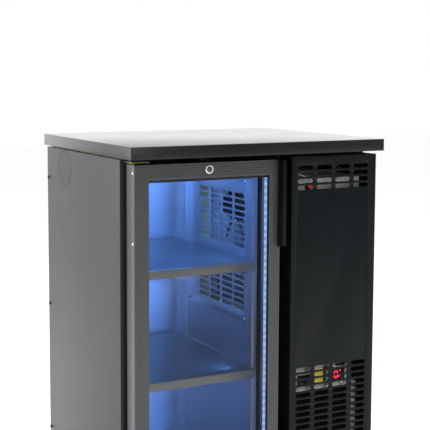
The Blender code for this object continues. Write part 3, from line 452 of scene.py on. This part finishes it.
# Pale grey nylon of the terminal block.
grey_nylon = finish("grey_nylon_block", "#858783", "#999B97", 0.45, patch=0.003)
BLOCK_X, BLOCK_Z, POLES, POLE_STEP = (0.1875, 0.2010), (0.3375, 0.3650), 6, 0.0043
bm = bmesh.new()
add_box(bm, (BLOCK_X[0], face_y - 0.0090, BLOCK_Z[0]), (BLOCK_X[1], face_y - 0.0002, BLOCK_Z[1]))
for i in range(POLES):
    z = BLOCK_Z[0] + 0.0020 + i * POLE_STEP
    add_box(bm, (BLOCK_X[0] - 0.0005, face_y - 0.0105, z), (BLOCK_X[1] + 0.0005, face_y - 0.0088, z + 0.0026))
shape("terminal_block", bm, grey_nylon, "cabinet", clean=False)
bm = bmesh.new()
add_box(bm, (0.1842, face_y - 0.0050, 0.3360), (0.1874, face_y - 0.0002, 0.3665))
add_box(bm, (0.2180, face_y - 0.0030, 0.3665), (0.2460, face_y - 0.0002, 0.3775))
bevel(bm, 0.0006, 2)
shape("blanking_covers", bm, black_abs, "cabinet")
carry("rocker_cap", "rocker_switch", black_abs, "rocker", 0.0005)
carry("controller_case", "controller", black_abs, "cabinet", 0.0003)
# Soft silicone key, matt grey.
key_rubber = finish("grey_key_rubber", "#35383B", "#404346", 0.6, patch=0.002)
carry("controller_key_cap", "controller_key", key_rubber, "key", 0.0006, 3)

# Lit red bars behind a tinted window.
red_led = finish("red_led_digits", "#E80C2C", "#FF1836", 0.4, patch=0.001, Emission_Color="#FF2040",
                 Emission_Strength=5.0)
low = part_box("controller")[0]
DIGIT_H, DIGIT_W, STROKE, STROKE_GAP = 0.0150, 0.0085, 0.0015, 0.0006
bm = bmesh.new()


def digit(bm, x, z, y, bars):
    """Seven-segment strokes standing just proud of the display."""
    half_h = DIGIT_H / 2
    places = {"a": (0, DIGIT_H), "g": (0, half_h), "d": (0, 0),
              "b": (DIGIT_W, half_h), "c": (DIGIT_W, 0), "f": (0, half_h), "e": (0, 0)}
    for bar in bars:
        at_x, at_z = x + places[bar][0], z + places[bar][1]
        if bar in "agd":
            low = (at_x + STROKE_GAP, y, at_z - STROKE / 2)
            high = (at_x + DIGIT_W - STROKE_GAP, y + 0.0003, at_z + STROKE / 2)
        else:
            low = (at_x - STROKE / 2, y, at_z + STROKE_GAP)
            high = (at_x + STROKE / 2, y + 0.0003, at_z + half_h - STROKE_GAP)
        add_box(bm, low, high)


digit(bm, low.x + 0.0085, low.z + 0.0080, low.y - 0.0004, "abcdefg")
digit(bm, low.x + 0.0125, low.z + 0.0080, low.y - 0.0004, "c")
lathe(bm, [(0.0, 0.0005), (0.0013, 0.0004), (0.0014, 0.0), (0.0, 0.0)],
      (low.x + 0.0245, low.y - 0.0001, low.z + 0.0235), "-Y", 16)
shape("display_digits", bm, red_led, "cabinet")

# ---- Evaporator housing behind the upper slots ----------------------------------------------
# A galvanised box hung on the bulkhead. A small red lamp in a black bezel sits on its face, with
# its wire in a pale sleeve above it, and the temperature probe's blue lead crosses at the right.
# The housing takes the lighter zinc copy: painted light in place of the light that the worktop's overhang
# keeps off it.
carry("evaporator_housing_sheet", "evaporator_housing", zinc_painted_light, "cabinet", 0.0008)
house_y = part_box("evaporator_housing")[0].y
LAMP_X, LAMP_Z = 0.1440, 0.7935
# Glossy red lens, glowing weakly.
red_cap = finish("red_lamp_cap", "#C00C1C", "#DC1626", 0.25, patch=0.002, Emission_Color="#E01525",
                 Emission_Strength=0.6)
bm = bmesh.new()
lathe(bm, [(0.0, 0.0052), (0.0018, 0.0048), (0.0030, 0.0032), (0.0035, 0.0), (0.0, 0.0)],
      (LAMP_X, house_y - 0.0030, LAMP_Z), "-Y", 24)
shape("red_lamp", bm, red_cap, "cabinet")
bm = bmesh.new()
lathe(bm, [(0.0, 0.0), (0.0075, 0.0), (0.0075, 0.0026), (0.0060, 0.0030), (0.0, 0.0030)],
      (LAMP_X - 0.0030, house_y, LAMP_Z), "-Y", 24)
shape("lamp_bezel", bm, black_abs, "cabinet")


def wire(name, points, radius, mat, body):
    """A bent wire or tube as a mesh along a smooth path."""
    curve = bpy.data.curves.new(name, "CURVE")
    curve.dimensions = "3D"
    curve.bevel_depth = radius
    curve.bevel_resolution = 3
    curve.use_fill_caps = True
    line = curve.splines.new("NURBS")
    line.points.add(len(points) - 1)
    for point, co in zip(line.points, points):
        point.co = (*co, 1.0)
    line.use_endpoint_u = True
    line.order_u = 3
    line.resolution_u = 6
    obj = bpy.data.objects.new(name, curve)
    bpy.context.scene.collection.objects.link(obj)
    bpy.context.view_layer.update()
    mesh = bpy.data.meshes.new_from_object(obj.evaluated_get(bpy.context.evaluated_depsgraph_get()))
    bpy.data.objects.remove(obj)
    bm = bmesh.new()
    bm.from_mesh(mesh)
    return shape(name, bm, mat, body)


# Pale shiny sleeve over the lamp wire, and the blue lead of the temperature probe.
clear_sleeve = finish("pale_wire_sleeve", "#BFBCC5", "#D3D0D9", 0.3, patch=0.004)
wire("lamp_wire", [(0.0940, house_y - 0.002, 0.8300), (0.1060, house_y - 0.010, 0.8255),
                   (0.1180, house_y - 0.012, 0.8205), (0.1330, house_y - 0.006, 0.8160),
                   (0.1400, house_y + 0.006, 0.8180)],
     0.0012, clear_sleeve, "cabinet")
blue_lead = finish("blue_pvc_lead", "#182238", "#202C48", 0.4, patch=0.004)
wire("sensor_lead", [(0.2050, house_y + 0.004, 0.8480), (0.2160, house_y - 0.006, 0.8400),
                     (0.2280, house_y - 0.008, 0.8300), (0.2330, house_y + 0.004, 0.8160)],
     0.0010, blue_lead, "cabinet")

# ---- Door frame: dark anodised aluminium extrusions, mitred at the corners ------------------
# Four ribbed profiles are cut to meet corner to corner on hidden keys. The extrusion's fine
# grooves run along each one, and the right-hand profile has a narrower face than the others.


def anodised(name, dark, light, along, rough=0.34):
    """Brushed and anodised aluminium: dark, with streaks along the rail."""
    stretch = [1 if axis == along else 60 for axis in "XYZ"]
    return finish(name, dark, light, rough, 0.75, 0.05, stretch, spread=0.07)


rail_finish = anodised("anodised_rail", "#55575A", "#5E6062", "X")
stile_finish = anodised("anodised_stile", "#525456", "#5B5D5F", "Z")
door_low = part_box("door_stile_left")[0]
door_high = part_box("door_stile_right")[1]
top_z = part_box("door_rail_top")[1].z
bottom_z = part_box("door_rail_bottom")[0].z
FACE = {"top": 0.034, "bottom": 0.034, "left": 0.034, "right": 0.0285}
BODY = {"top": 0.027, "bottom": 0.014, "left": 0.014, "right": 0.014}
LIP = 0.004                                       # depth of the lip over the glass
GROOVES, GROOVE_DEPTH = 5, 0.0007
MITRE = 0.00015                                   # half of the gap at a corner


def frame_section(face, body):
    """Section of a profile as (inset from the outer edge, depth from the front face)."""
    points = [(0.0, 0.0012), (0.0004, 0.0004), (0.0012, 0.0)]
    pitch = (face - 0.007) / GROOVES
    for i in range(GROOVES):
        a = 0.004 + i * pitch
        points += [(a, 0.0), (a + 0.0006, GROOVE_DEPTH), (a + 0.0016, GROOVE_DEPTH), (a + 0.0022, 0.0)]
    points += [(face - 0.0012, 0.0), (face - 0.0003, 0.0004), (face, 0.0012), (face, LIP)]
    depth = door_high.y - door_low.y
    points += [(body, LIP), (body, depth), (0.0, depth)]
    points += [(0.0, 0.0222), (0.0009, 0.0218), (0.0009, 0.0206), (0.0, 0.0202)]
    return points


def profile(edge, node, mat):
    """One profile, extruded from its section, with both ends cut to meet its neighbours."""
    bm = bmesh.new()
    lying = edge in ("top", "bottom")
    spans = (door_low.x, door_high.x) if lying else (bottom_z, top_z)
    section = frame_section(FACE[edge], BODY[edge])
    first, last = [FACE[end] / FACE[edge] for end in (("left", "right") if lying else ("bottom", "top"))]

    def point(inset, depth, end):
        along = spans[0] + inset * first + MITRE if end == 0 else spans[1] - inset * last - MITRE
        y = door_low.y + depth
        if lying:
            return Vector((along, y, top_z - inset if edge == "top" else bottom_z + inset))
        return Vector((door_low.x + inset if edge == "left" else door_high.x - inset, y, along))

    starts = [bm.verts.new(point(i, d, 0)) for i, d in section]
    face = bm.faces.new(starts)
    pushed = bmesh.ops.extrude_face_region(bm, geom=[face])
    for vert in pushed["geom"]:
        if isinstance(vert, bmesh.types.BMVert):
            inset, depth = min(section, key=lambda s: (point(*s, 0) - vert.co).length)
            vert.co = point(inset, depth, 1)
    shape(f"door_profile_{edge}", bm, mat, "door", [node], 20)


profile("top", "door_rail_top", rail_finish)
profile("bottom", "door_rail_bottom", rail_finish)
profile("left", "door_stile_left", stile_finish)
profile("right", "door_stile_right", stile_finish)

# Bright stainless screw heads.
DOOR_SCREWS = (0.8437, 0.6943, 0.2427, 0.0933)    # heights on both sides of the door
frame_screw = finish("stainless_screw", "#BFC1C2", "#D2D4D5", 0.22, 1.0, patch=0.003)
bm = bmesh.new()
for z in DOOR_SCREWS:
    for x, axis in ((door_low.x, "-X"), (door_high.x, "X")):
        pan_screw(bm, (x, door_low.y + 0.0065, z), axis, 0.0036)
shape("door_side_screws", bm, frame_screw, "door")

# ---- Double glazing ---------------------------------------------------------------------------
# Two 4 mm panes with a black warm-edge spacer between them. The panes are nearly clear, and a
# thin black rubber bead closes the joint between the glass and the frame.


# Clear float glass, drawn as a thin film of reflection over what is behind it.
clear_pane = finish("clear_float_glass", "#1E2429", "#22282D", 0.035, patch=0.12, spread=0.012,
                    relief=0.000001, Alpha=0.07)
for node in ("glass_outer", "glass_inner"):
    carry(f"{node}_pane", node, clear_pane, "door", 0.0004)
# Matt black butyl.
edge_rubber = finish("black_butyl_spacer", "#060708", "#0A0B0C", 0.55, patch=0.004)
SLIM = 0.005                                      # the spacer is slimmer beside the light strip
spacer = carry("glazing_spacer", "glass_spacer", edge_rubber, "door", 0.0)
spacer_edge = max(vert.co.x for vert in spacer.data.vertices)
for vert in spacer.data.vertices:
    if spacer_edge - 0.020 < vert.co.x < spacer_edge - 0.002:
        vert.co.x += SLIM
BEAD, TUCK = 0.0016, 0.001                        # the bead's width, and how far it tucks under
open_left, open_right = door_low.x + FACE["left"] - TUCK, door_high.x - FACE["right"] + TUCK
open_low, open_high = bottom_z + FACE["bottom"] - TUCK, top_z - FACE["top"] + TUCK
bead_front, bead_back = door_low.y + 0.0012, door_low.y + LIP
bm = bmesh.new()
add_box(bm, (open_left, bead_front, open_low), (open_left + BEAD, bead_back, open_high))
add_box(bm, (open_right - BEAD, bead_front, open_low), (open_right, bead_back, open_high))
add_box(bm, (open_left, bead_front, open_low), (open_right, bead_back, open_low + BEAD))
add_box(bm, (open_left, bead_front, open_high - BEAD), (open_right, bead_back, open_high))
shape("glazing_bead", bm, edge_rubber, "door", clean=False)

# ---- Magnetic door seal -----------------------------------------------------------------------
# A soft black extrusion pressed into the back of the door: a bellows with a magnet strip in its
# tip, drawn as a hollow-sided ring that meets the cabin's frame.
# Flexible PVC, matt with a skin-like grain.
seal_pvc = finish("black_pvc_seal", "#080809", "#0D0D0E", 0.55, patch=0.004, relief=0.00005)
low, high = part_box("door_gasket")
bm = bmesh.new()
section = [(0.0, 0.0), (0.0, 0.0030), (0.0030, 0.0050), (0.0008, 0.0072), (0.0, 0.0095),
           (0.0008, 0.0111), (0.0112, 0.0111), (0.0120, 0.0095), (0.0112, 0.0072), (0.0090, 0.0050),
           (0.0120, 0.0030), (0.0120, 0.0)]
corners = [(low.x, low.z, 1, 1), (high.x, low.z, -1, 1), (high.x, high.z, -1, -1), (low.x, high.z, 1, -1)]
rings = [[bm.verts.new((x + sx * i, low.y + d, z + sz * i)) for i, d in section] for x, z, sx, sz in corners]
loops = []
for ring in rings:
    loops.append([bm.edges.new((ring[i], ring[(i + 1) % len(ring)])) for i in range(len(ring))])
for i in range(4):
    bmesh.ops.bridge_loops(bm, edges=loops[i] + loops[(i + 1) % 4])
shape("door_seal", bm, seal_pvc, "door", ["door_gasket"], 40)

# ---- Light strip on the door's inner edge -----------------------------------------------------
# An aluminium channel with a milky cover over a row of cool white diodes.
# A milky cover that glows pale blue, brighter over each diode.
strip_glow = finish("led_cover", "#9CBCE0", "#B4D2F0", 0.35, patch=0.01, Emission_Strength=0.9)
glow = strip_glow.node_tree
low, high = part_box("led_strip")
DIODE = 0.0167                                    # distance between diodes
where = add(glow, "ShaderNodeTexCoord")
apart = add(glow, "ShaderNodeSeparateXYZ", {}, {"Vector": where.outputs["Object"]})
phase = add(glow, "ShaderNodeMath", {1: 2 * math.pi / DIODE}, {0: apart.outputs["Z"]},
            operation="MULTIPLY")
wave = add(glow, "ShaderNodeMath", {}, {0: phase.outputs[0]}, operation="SINE")
level = add(glow, "ShaderNodeMapRange", {"From Min": -1.0, "From Max": 1.0}, {"Value": wave.outputs[0]})
lit = add(glow, "ShaderNodeMix", {}, {"Factor": level.outputs["Result"]}, data_type="RGBA")
lit.inputs["A"].default_value = (*linear("#5B96DC"), 1)
lit.inputs["B"].default_value = (*linear("#C4E2FF"), 1)
glow.links.new(lit.outputs["Result"], glow.nodes["Principled BSDF"].inputs["Emission Color"])
bm = bmesh.new()
add_box(bm, (low.x + 0.0010, low.y + 0.0002, low.z + 0.001),
        (high.x - 0.0010, high.y - 0.0002, high.z - 0.001))
bevel(bm, 0.0016, 3)
shape("led_cover_strip", bm, strip_glow, "door", ["led_strip"])
channel_metal = anodised("bright_channel", "#8E9195", "#B4B7BB", "Z", 0.3)
CHANNEL_T = 0.0008
bm = bmesh.new()
add_box(bm, low, (low.x + CHANNEL_T, high.y, high.z))
add_box(bm, (high.x - CHANNEL_T, low.y, low.z), high)
shape("led_channel", bm, channel_metal, "door", clean=False)

# ---- Pull handle: moulded black bar on two flared feet ----------------------------------------
# Glass-filled nylon with a fine spark texture, screwed from behind to the door's free edge. It is
# a channel: a wall at the hand's left and a front lip between the feet, open at the right.
handle_nylon = finish("textured_black_nylon", "#0B0D0E", "#101213", 0.42, patch=0.02, relief=0.00001,
                      grit=0.0007, Specular_IOR_Level=0.15)
low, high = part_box("door_handle")
FLARE_H, FLARE_OUT, FLARE_IN = 0.0108, 0.0022, 0.0004
bm = bmesh.new()
bm.from_mesh(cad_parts["door_handle"].data)
bmesh.ops.remove_doubles(bm, verts=bm.verts, dist=1e-5)
bmesh.ops.dissolve_limit(bm, angle_limit=math.radians(0.5), verts=bm.verts, edges=bm.edges)
for vert in bm.verts:
    end = min(vert.co.z - low.z, high.z - vert.co.z)
    if end < FLARE_H and vert.co.y > high.y - 0.002:
        vert.co.x += -FLARE_OUT if vert.co.x < (low.x + high.x) / 2 else FLARE_IN
bevel(bm, 0.0011, 3)
shape("handle_moulding", bm, handle_nylon, "door", ["door_handle"], 40, clean=False)

# ---- Lock: chromed ring, barrel and turning plug ----------------------------------------------
# A cam lock in the top rail. The turned ring is polished, and the plug's face is duller and coloured darker
# as painted shade of its recess, with the key slot cut across it.
chrome = finish("polished_chrome", "#DCDDDE", "#EAEBEC", 0.10, 1.0, patch=0.006, spread=0.02)
# The plug's chrome is darkened: painted shade inside the ring.
plug_painted_shade = finish("chrome_plug_painted_shade", "#4A4C50", "#6E7074", 0.34, 1.0, patch=0.002)
low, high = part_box("lock_barrel")
lock_at = Vector(((low.x + high.x) / 2, low.y, (low.z + high.z) / 2))
LOCK_R = (high.x - low.x) / 2
BORE_R, BARREL_L = 0.0058, 0.026
bm = bmesh.new()
lathe(bm, [(BORE_R, -0.004), (BORE_R, 0.0006), (0.0066, 0.0012), (LOCK_R - 0.0022, 0.0014),
           (LOCK_R - 0.0008, 0.0010), (LOCK_R, 0.0002), (LOCK_R, 0.0), (LOCK_R - 0.0015, 0.0),
           (LOCK_R - 0.0015, -BARREL_L), (BORE_R, -BARREL_L), (BORE_R, -0.004)],
      (lock_at.x, door_low.y, lock_at.z), "-Y", 40)
shape("lock_ring", bm, chrome, "door", ["lock_barrel"])
carry("lock_plug_turned", "lock_plug", plug_painted_shade, "lock", 0.0002)
# The unlit inside of the key slot.
dark_slot = finish("key_slot_shadow", "#050505", "#080808", 0.7, patch=0.001)
SLOT_HALF_W, SLOT_HALF_H = 0.0009, 0.0036
plug_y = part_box("lock_plug")[0].y
bm = bmesh.new()
add_box(bm, (lock_at.x - SLOT_HALF_W, plug_y - 0.00003, lock_at.z - SLOT_HALF_H),
        (lock_at.x + SLOT_HALF_W, plug_y + 0.0016, lock_at.z + SLOT_HALF_H))
shape("key_slot", bm, dark_slot, "lock")

# ---- Hinge brackets and lock strike ------------------------------------------------------------
# The top plate reaches out over the door from the carcass and its pin drops into the top rail.
# The brackets are zinc steel, dulled and yellowed by passivation; the strike is coloured black as painted
# shade under the worktop.
passivated = finish("yellow_passivated_zinc", "#6E6338", "#9C9168", 0.40, 1.0, patch=0.012)
for node in ("hinge_bracket_top", "hinge_bracket_bottom"):
    carry(f"{node}_plate", node, passivated, "cabinet", 0.0003)
# The strike takes the black panel coat as painted shade of the worktop's overhang.
carry("lock_strike_plate", "lock_strike", panel_coat, "cabinet", 0.0003)
low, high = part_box("hinge_bracket_top")
bm = bmesh.new()
for x in (low.x + 0.012, high.x - 0.010):
    pan_screw(bm, (x, high.y - 0.010, high.z), "Z", 0.0032)
shape("hinge_screws", bm, steel_screw, "cabinet")

# ---- Cabin: brushed stainless liner and the plastic frame round its mouth ----------------------
# Five thin stainless sheets, brushed along their length, clipped into a black plastic frame that
# the door's seal closes against.


def brushed_steel(name, dark, light, along, rough):
    """Brushed stainless: bright metal with long fine scratches in one direction."""
    stretch = [1 if axis == along else 40 for axis in "XYZ"]
    return finish(name, dark, light, rough, 1.0, 0.03, stretch, spread=0.05, relief=0.000002)


liner_up = brushed_steel("brushed_liner_upright", "#B9BDC4", "#D2D5DA", "Z", 0.36)
liner_flat = brushed_steel("brushed_liner_flat", "#B5B9C0", "#CED1D6", "Y", 0.36)
for node, mat in (("liner_left", liner_up), ("liner_right", liner_up), ("liner_rear", liner_up),
                  ("liner_ceiling", liner_flat), ("liner_floor", liner_flat)):
    carry(f"{node}_sheet", node, mat, "cabinet", 0.0)
# Extruded PVC, near black and dull.
frame_plastic = finish("black_extruded_pvc", "#060709", "#0A0B0D", 0.45, patch=0.05, Specular_IOR_Level=0.2)
carry("cabin_mouth_frame", "front_breaker_frame", frame_plastic, "cabinet", 0.0006)

# ---- Shelf uprights, clips and shelves ----------------------------------------------------------
# Slotted stainless uprights stand at the front and rear of both walls. Bright clips hook into
# them. Each shelf is one folded sheet whose front lip is wider than the plate behind it.
for node in ("shelf_upright_left_front", "shelf_upright_left_rear", "shelf_upright_right_front",
             "shelf_upright_right_rear"):
    carry(f"{node}_strip", node, liner_up, "cabinet", 0.0003)
shelf_metal = brushed_steel("satin_shelf_steel", "#8E9192", "#A2A5A6", "X", 0.42)
# Bright drawn wire and sheet of the clips.
clip_metal = finish("bright_clip_steel", "#BEC1C6", "#D2D5DA", 0.25, 1.0, patch=0.004)
FOLD, SHEET_T = 0.0015, 0.0015
LIP_DEPTH, HEM_H, SIDE_NOTCH = 0.0052, 0.008, 0.0037
CLIP_REACH, CLIP_HALF_W, TAB_HALF_W, TAB_T = 0.0080, 0.0070, 0.0045, 0.0012
for node, label in (("upper_shelf", "upper"), ("lower_shelf", "lower")):
    low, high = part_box(node)
    section = [(low.y, low.z), (low.y, high.z - FOLD)]
    for i in range(1, 5):
        a = math.radians(180 - i * 22.5)
        section.append((low.y + FOLD + FOLD * math.cos(a), high.z - FOLD + FOLD * math.sin(a)))
    section += [(high.y, high.z), (high.y, low.z), (high.y - SHEET_T, low.z),
                (high.y - SHEET_T, high.z - SHEET_T), (low.y + SHEET_T, high.z - SHEET_T),
                (low.y + SHEET_T, low.z + HEM_H), (low.y + LIP_DEPTH, low.z + HEM_H),
                (low.y + LIP_DEPTH, low.z)]
    bm = bmesh.new()
    face = bm.faces.new([bm.verts.new((low.x, y, z)) for y, z in section])
    pushed = bmesh.ops.extrude_face_region(bm, geom=[face])
    moved = [g for g in pushed["geom"] if isinstance(g, bmesh.types.BMVert)]
    bmesh.ops.translate(bm, verts=moved, vec=(high.x - low.x, 0, 0))
    bmesh.ops.bisect_plane(bm, geom=bm.verts[:] + bm.edges[:] + bm.faces[:], dist=1e-6,
                           plane_co=(0, low.y + LIP_DEPTH, 0), plane_no=(0, 1, 0))
    for vert in bm.verts:
        if vert.co.y > low.y + LIP_DEPTH + 1e-5:
            vert.co.x += SIDE_NOTCH if vert.co.x < (low.x + high.x) / 2 else -SIDE_NOTCH
    shape(f"{label}_shelf_sheet", bm, shelf_metal, "cabinet", [node])
    bm = bmesh.new()
    for side in ("left", "right"):
        for end in ("front", "rear"):
            strip_low, strip_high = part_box(f"shelf_upright_{side}_{end}")
            x, inward = (strip_high.x, 1) if side == "left" else (strip_low.x, -1)
            y = (strip_low.y + strip_high.y) / 2
            rest_x, tab_x = sorted((x, x + inward * CLIP_REACH)), sorted((x, x + inward * TAB_T))
            add_box(bm, (rest_x[0], y - CLIP_HALF_W, high.z - SHEET_T - 0.0032),
                    (rest_x[1], y + CLIP_HALF_W, high.z - SHEET_T - 0.0004))
            add_box(bm, (tab_x[0], y - TAB_HALF_W, high.z - 0.0240),
                    (tab_x[1], y + TAB_HALF_W, high.z - 0.0045))
    shape(f"{label}_shelf_clips", bm, clip_metal, "cabinet", clean=False)

# ---- Evaporator behind the right-hand wall --------------------------------------------------------
# A stainless cover with rows of long punched slots, held by four screws. The finned coil, its fan
# and a drip tray are in the housing behind it.
low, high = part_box("evaporator_cover")
SIDE_PLANE = Matrix.Rotation(math.radians(90), 4, "Z") @ Matrix.Rotation(math.radians(90), 4, "X")
GRILLE_BANKS = ((0.502, 7), (0.650, 9))           # height of a bank's lowest row, and its rows
GRILLE_IN, GRILLE_STEP_Y, GRILLE_STEP_Z = 0.034, 0.0585, 0.0146
holes = []
for first_z, rows in GRILLE_BANKS:
    for row in range(rows):
        for column in range(COLUMNS):
            holes.append((GRILLE_IN + column * GRILLE_STEP_Y, first_z + row * GRILLE_STEP_Z - low.z,
                          0.050, 0.0100))
bm = punched_sheet((high.y - low.y, high.z - low.z), holes, high.x - low.x, 0.0004)
place = Matrix.Translation(((low.x + high.x) / 2, low.y, low.z)) @ SIDE_PLANE
bmesh.ops.transform(bm, matrix=place, verts=bm.verts)
shape("evaporator_grille", bm, liner_up, "cabinet", ["evaporator_cover"])
bm = bmesh.new()
for y in (low.y + 0.008, high.y - 0.008):
    for z in (low.z + 0.010, high.z - 0.010):
        pan_screw(bm, (low.x, y, z), "-X", 0.0036)
shape("grille_screws", bm, frame_screw, "cabinet")
# Thin rolled aluminium, banded across the fins.
fin_metal = finish("rolled_fin_aluminium", "#8F9294", "#C3C5C6", 0.42, 0.9, 0.01, (1, 1, 12))
carry("evaporator_fins", "evaporator_coil", fin_metal, "cabinet", 0.0)
carry("drip_tray_moulding", "drip_tray", black_abs, "cabinet", 0.0004)
carry("evaporator_fan_blades", "evaporator_fan_wheel", black_abs, "evaporator_fan", 0.0002,
      2, 40)
carry("evaporator_motor_case", "evaporator_fan_motor", black_abs, "cabinet", 0.0010, 3)

# ---- Condensing unit -------------------------------------------------------------------------------
# A condenser with fins coloured near black as painted shade, and plain steel return bends, stands behind the
# lower slots, then its shroud, fan and motor, and the black hermetic compressor with copper pipes.
black_enamel = powder_coat("black_enamel", "#0C0C0D", "#141415", 0.30)
# Drawn copper tube, slightly tarnished, and fins coloured near black and dull as painted shade behind the
# lower slots.
copper = finish("drawn_copper", "#9E5C46", "#C88068", 0.28, 1.0, patch=0.015)
fins_painted_shade = finish("near_black_fins_painted_shade", "#040505", "#080909", 0.7, patch=0.01, Specular_IOR_Level=0.15)
carry("condenser_fins", "condenser_coil", fins_painted_shade, "cabinet", 0.0)
cond_low, cond_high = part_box("condenser_coil")
bm = bmesh.new()
BEND_PITCH, BEND_TOP, BEND_R, TUBE_R = 0.0150, 0.3170, 0.0048, 0.0026
END_PLATE_X, BEND_REACH = 0.0022, 2.2             # end plate's outer face; how long a bend is drawn
for i in range(int((BEND_TOP - cond_low.z) / BEND_PITCH)):
    ring = bmesh.new()
    bmesh.ops.create_circle(ring, cap_ends=False, segments=10, radius=TUBE_R)
    bmesh.ops.translate(ring, verts=ring.verts, vec=(BEND_R, 0, 0))
    bmesh.ops.spin(ring, geom=ring.verts[:] + ring.edges[:], cent=(0, 0, 0), axis=(0, 1, 0), angle=math.pi,
                   steps=10, use_merge=False)
    at = (cond_high.x + END_PLATE_X, cond_low.y + 0.006, BEND_TOP - i * BEND_PITCH)
    bmesh.ops.transform(ring, matrix=Matrix.Translation(at) @ Matrix.Rotation(math.radians(-90), 4, "Y"),
                        verts=ring.verts)
    absorb(bm, ring)
for vert in bm.verts:
    vert.co.x = cond_high.x + END_PLATE_X + (vert.co.x - cond_high.x - END_PLATE_X) * BEND_REACH
add_box(bm, (cond_high.x + 0.0003, cond_low.y, cond_low.z),
        (cond_high.x + 0.0020, cond_high.y, cond_high.z))
bend_steel = galvanised("return_bend_steel", "#7C827E", "#A4AAA6", 0.02, 0.3)
shape("condenser_return_bends", bm, bend_steel, "cabinet")
carry("fan_shroud_sheet", "fan_shroud", zinc_sheet, "cabinet", 0.0006)
carry("condenser_fan_blades", "condenser_fan_wheel", fin_metal, "condenser_fan", 0.0002,
      2, 40)
carry("condenser_motor_case", "condenser_fan_motor", black_enamel, "cabinet", 0.0015, 3)
carry("compressor_shell", "compressor", black_enamel, "cabinet", 0.0)
carry("terminal_box_cover", "compressor_terminal_box", black_abs, "cabinet", 0.0020, 3)
carry("filter_drier_body", "filter_drier", copper, "cabinet", 0.0030, 3)
carry("suction_pipe", "suction_line", copper, "cabinet", 0.0, angle=60)
carry("bulkhead_sheet", "bulkhead", zinc_sheet, "cabinet", 0.0)

# ---- Rear panel, underside, power inlet and foam ----------------------------------------------------
# Plain galvanised sheets close the back and the underside; the appliance inlet is moulded black.
carry("rear_panel_sheet", "rear_panel", zinc_sheet, "cabinet", 0.0)
carry("underside_sheet", "bottom_panel", zinc_sheet, "cabinet", 0.0)
carry("inlet_moulding", "power_inlet", black_abs, "cabinet", 0.0008, 3)
# Cut polyurethane, matt straw colour with open cells.
foam = finish("cut_urethane_foam", "#C6B072", "#E2D29F", 0.9, patch=0.0025, relief=0.0002)
carry("foam_block", "foam_insulation", foam, "cabinet", 0.0)
low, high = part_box("rear_panel")
bm = bmesh.new()
for x in (low.x + 0.012, (low.x + high.x) / 2, high.x - 0.012):
    for z in (low.z + 0.020, (low.z + high.z) / 2, high.z - 0.020):
        pan_screw(bm, (x, high.y, z), "Y", 0.0040)
shape("rear_panel_screws", bm, steel_screw, "cabinet")

# ---- Levelling feet ----------------------------------------------------------------------------------
# Black nylon pads on zinc-plated threaded stems, screwed into the base.
STEM_Z, CREST_R, ROOT_R, THREAD_PITCH = 0.0155, 0.0050, 0.0044, 0.0012
for where in ("front_left", "front_right", "rear_left", "rear_right"):
    low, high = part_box(f"foot_{where}")
    x, y = (low.x + high.x) / 2, (low.y + high.y) / 2
    r = (high.x - low.x) / 2
    bm = bmesh.new()
    lathe(bm, [(0.0, 0.0), (r - 0.001, 0.0), (r, 0.0010), (r - 0.0004, 0.0040), (r - 0.0028, 0.0110),
               (r - 0.0040, 0.0120), (0.0090, 0.0125), (0.0080, 0.0160), (0.0, 0.0160)],
          (x, y, low.z), "Z", 40)
    shape(f"foot_pad_{where}", bm, black_abs, f"levelling_foot_{where}",
          [f"foot_{where}"])
    thread = [(0.0, STEM_Z)]
    z = STEM_Z
    while z < high.z - low.z - 0.0018:
        thread += [(CREST_R, z), (ROOT_R, z + THREAD_PITCH / 2)]
        z += THREAD_PITCH
    thread.append((0.0, high.z - low.z - 0.0004))
    bm = bmesh.new()
    lathe(bm, thread, (x, y, low.z), "Z", 20)
    shape(f"foot_stem_{where}", bm, steel_screw, f"levelling_foot_{where}")

# ---- Cabin light ----------------------------------------------------------------------------------------
# The strip's own light, thrown into the cabin.
strip_low, strip_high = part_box("led_strip")
cabin_low, cabin_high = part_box("liner_rear")
cabin_x, strip_z = (cabin_low.x + cabin_high.x) / 2, (strip_low.z + strip_high.z) / 2
softbox("cabin_light", (strip_low.x - 0.050, strip_high.y + 0.060, strip_z), (cabin_x, cabin_high.y, strip_z),
        (0.012, 0.70), 2.6, linear("#5C9CFF"))
softbox("cabin_fill", (cabin_x, strip_high.y + 0.040, cabin_high.z - 0.012),
        (cabin_x, cabin_high.y, cabin_low.z), (0.22, 0.04), 1.0, linear("#5094FF"))
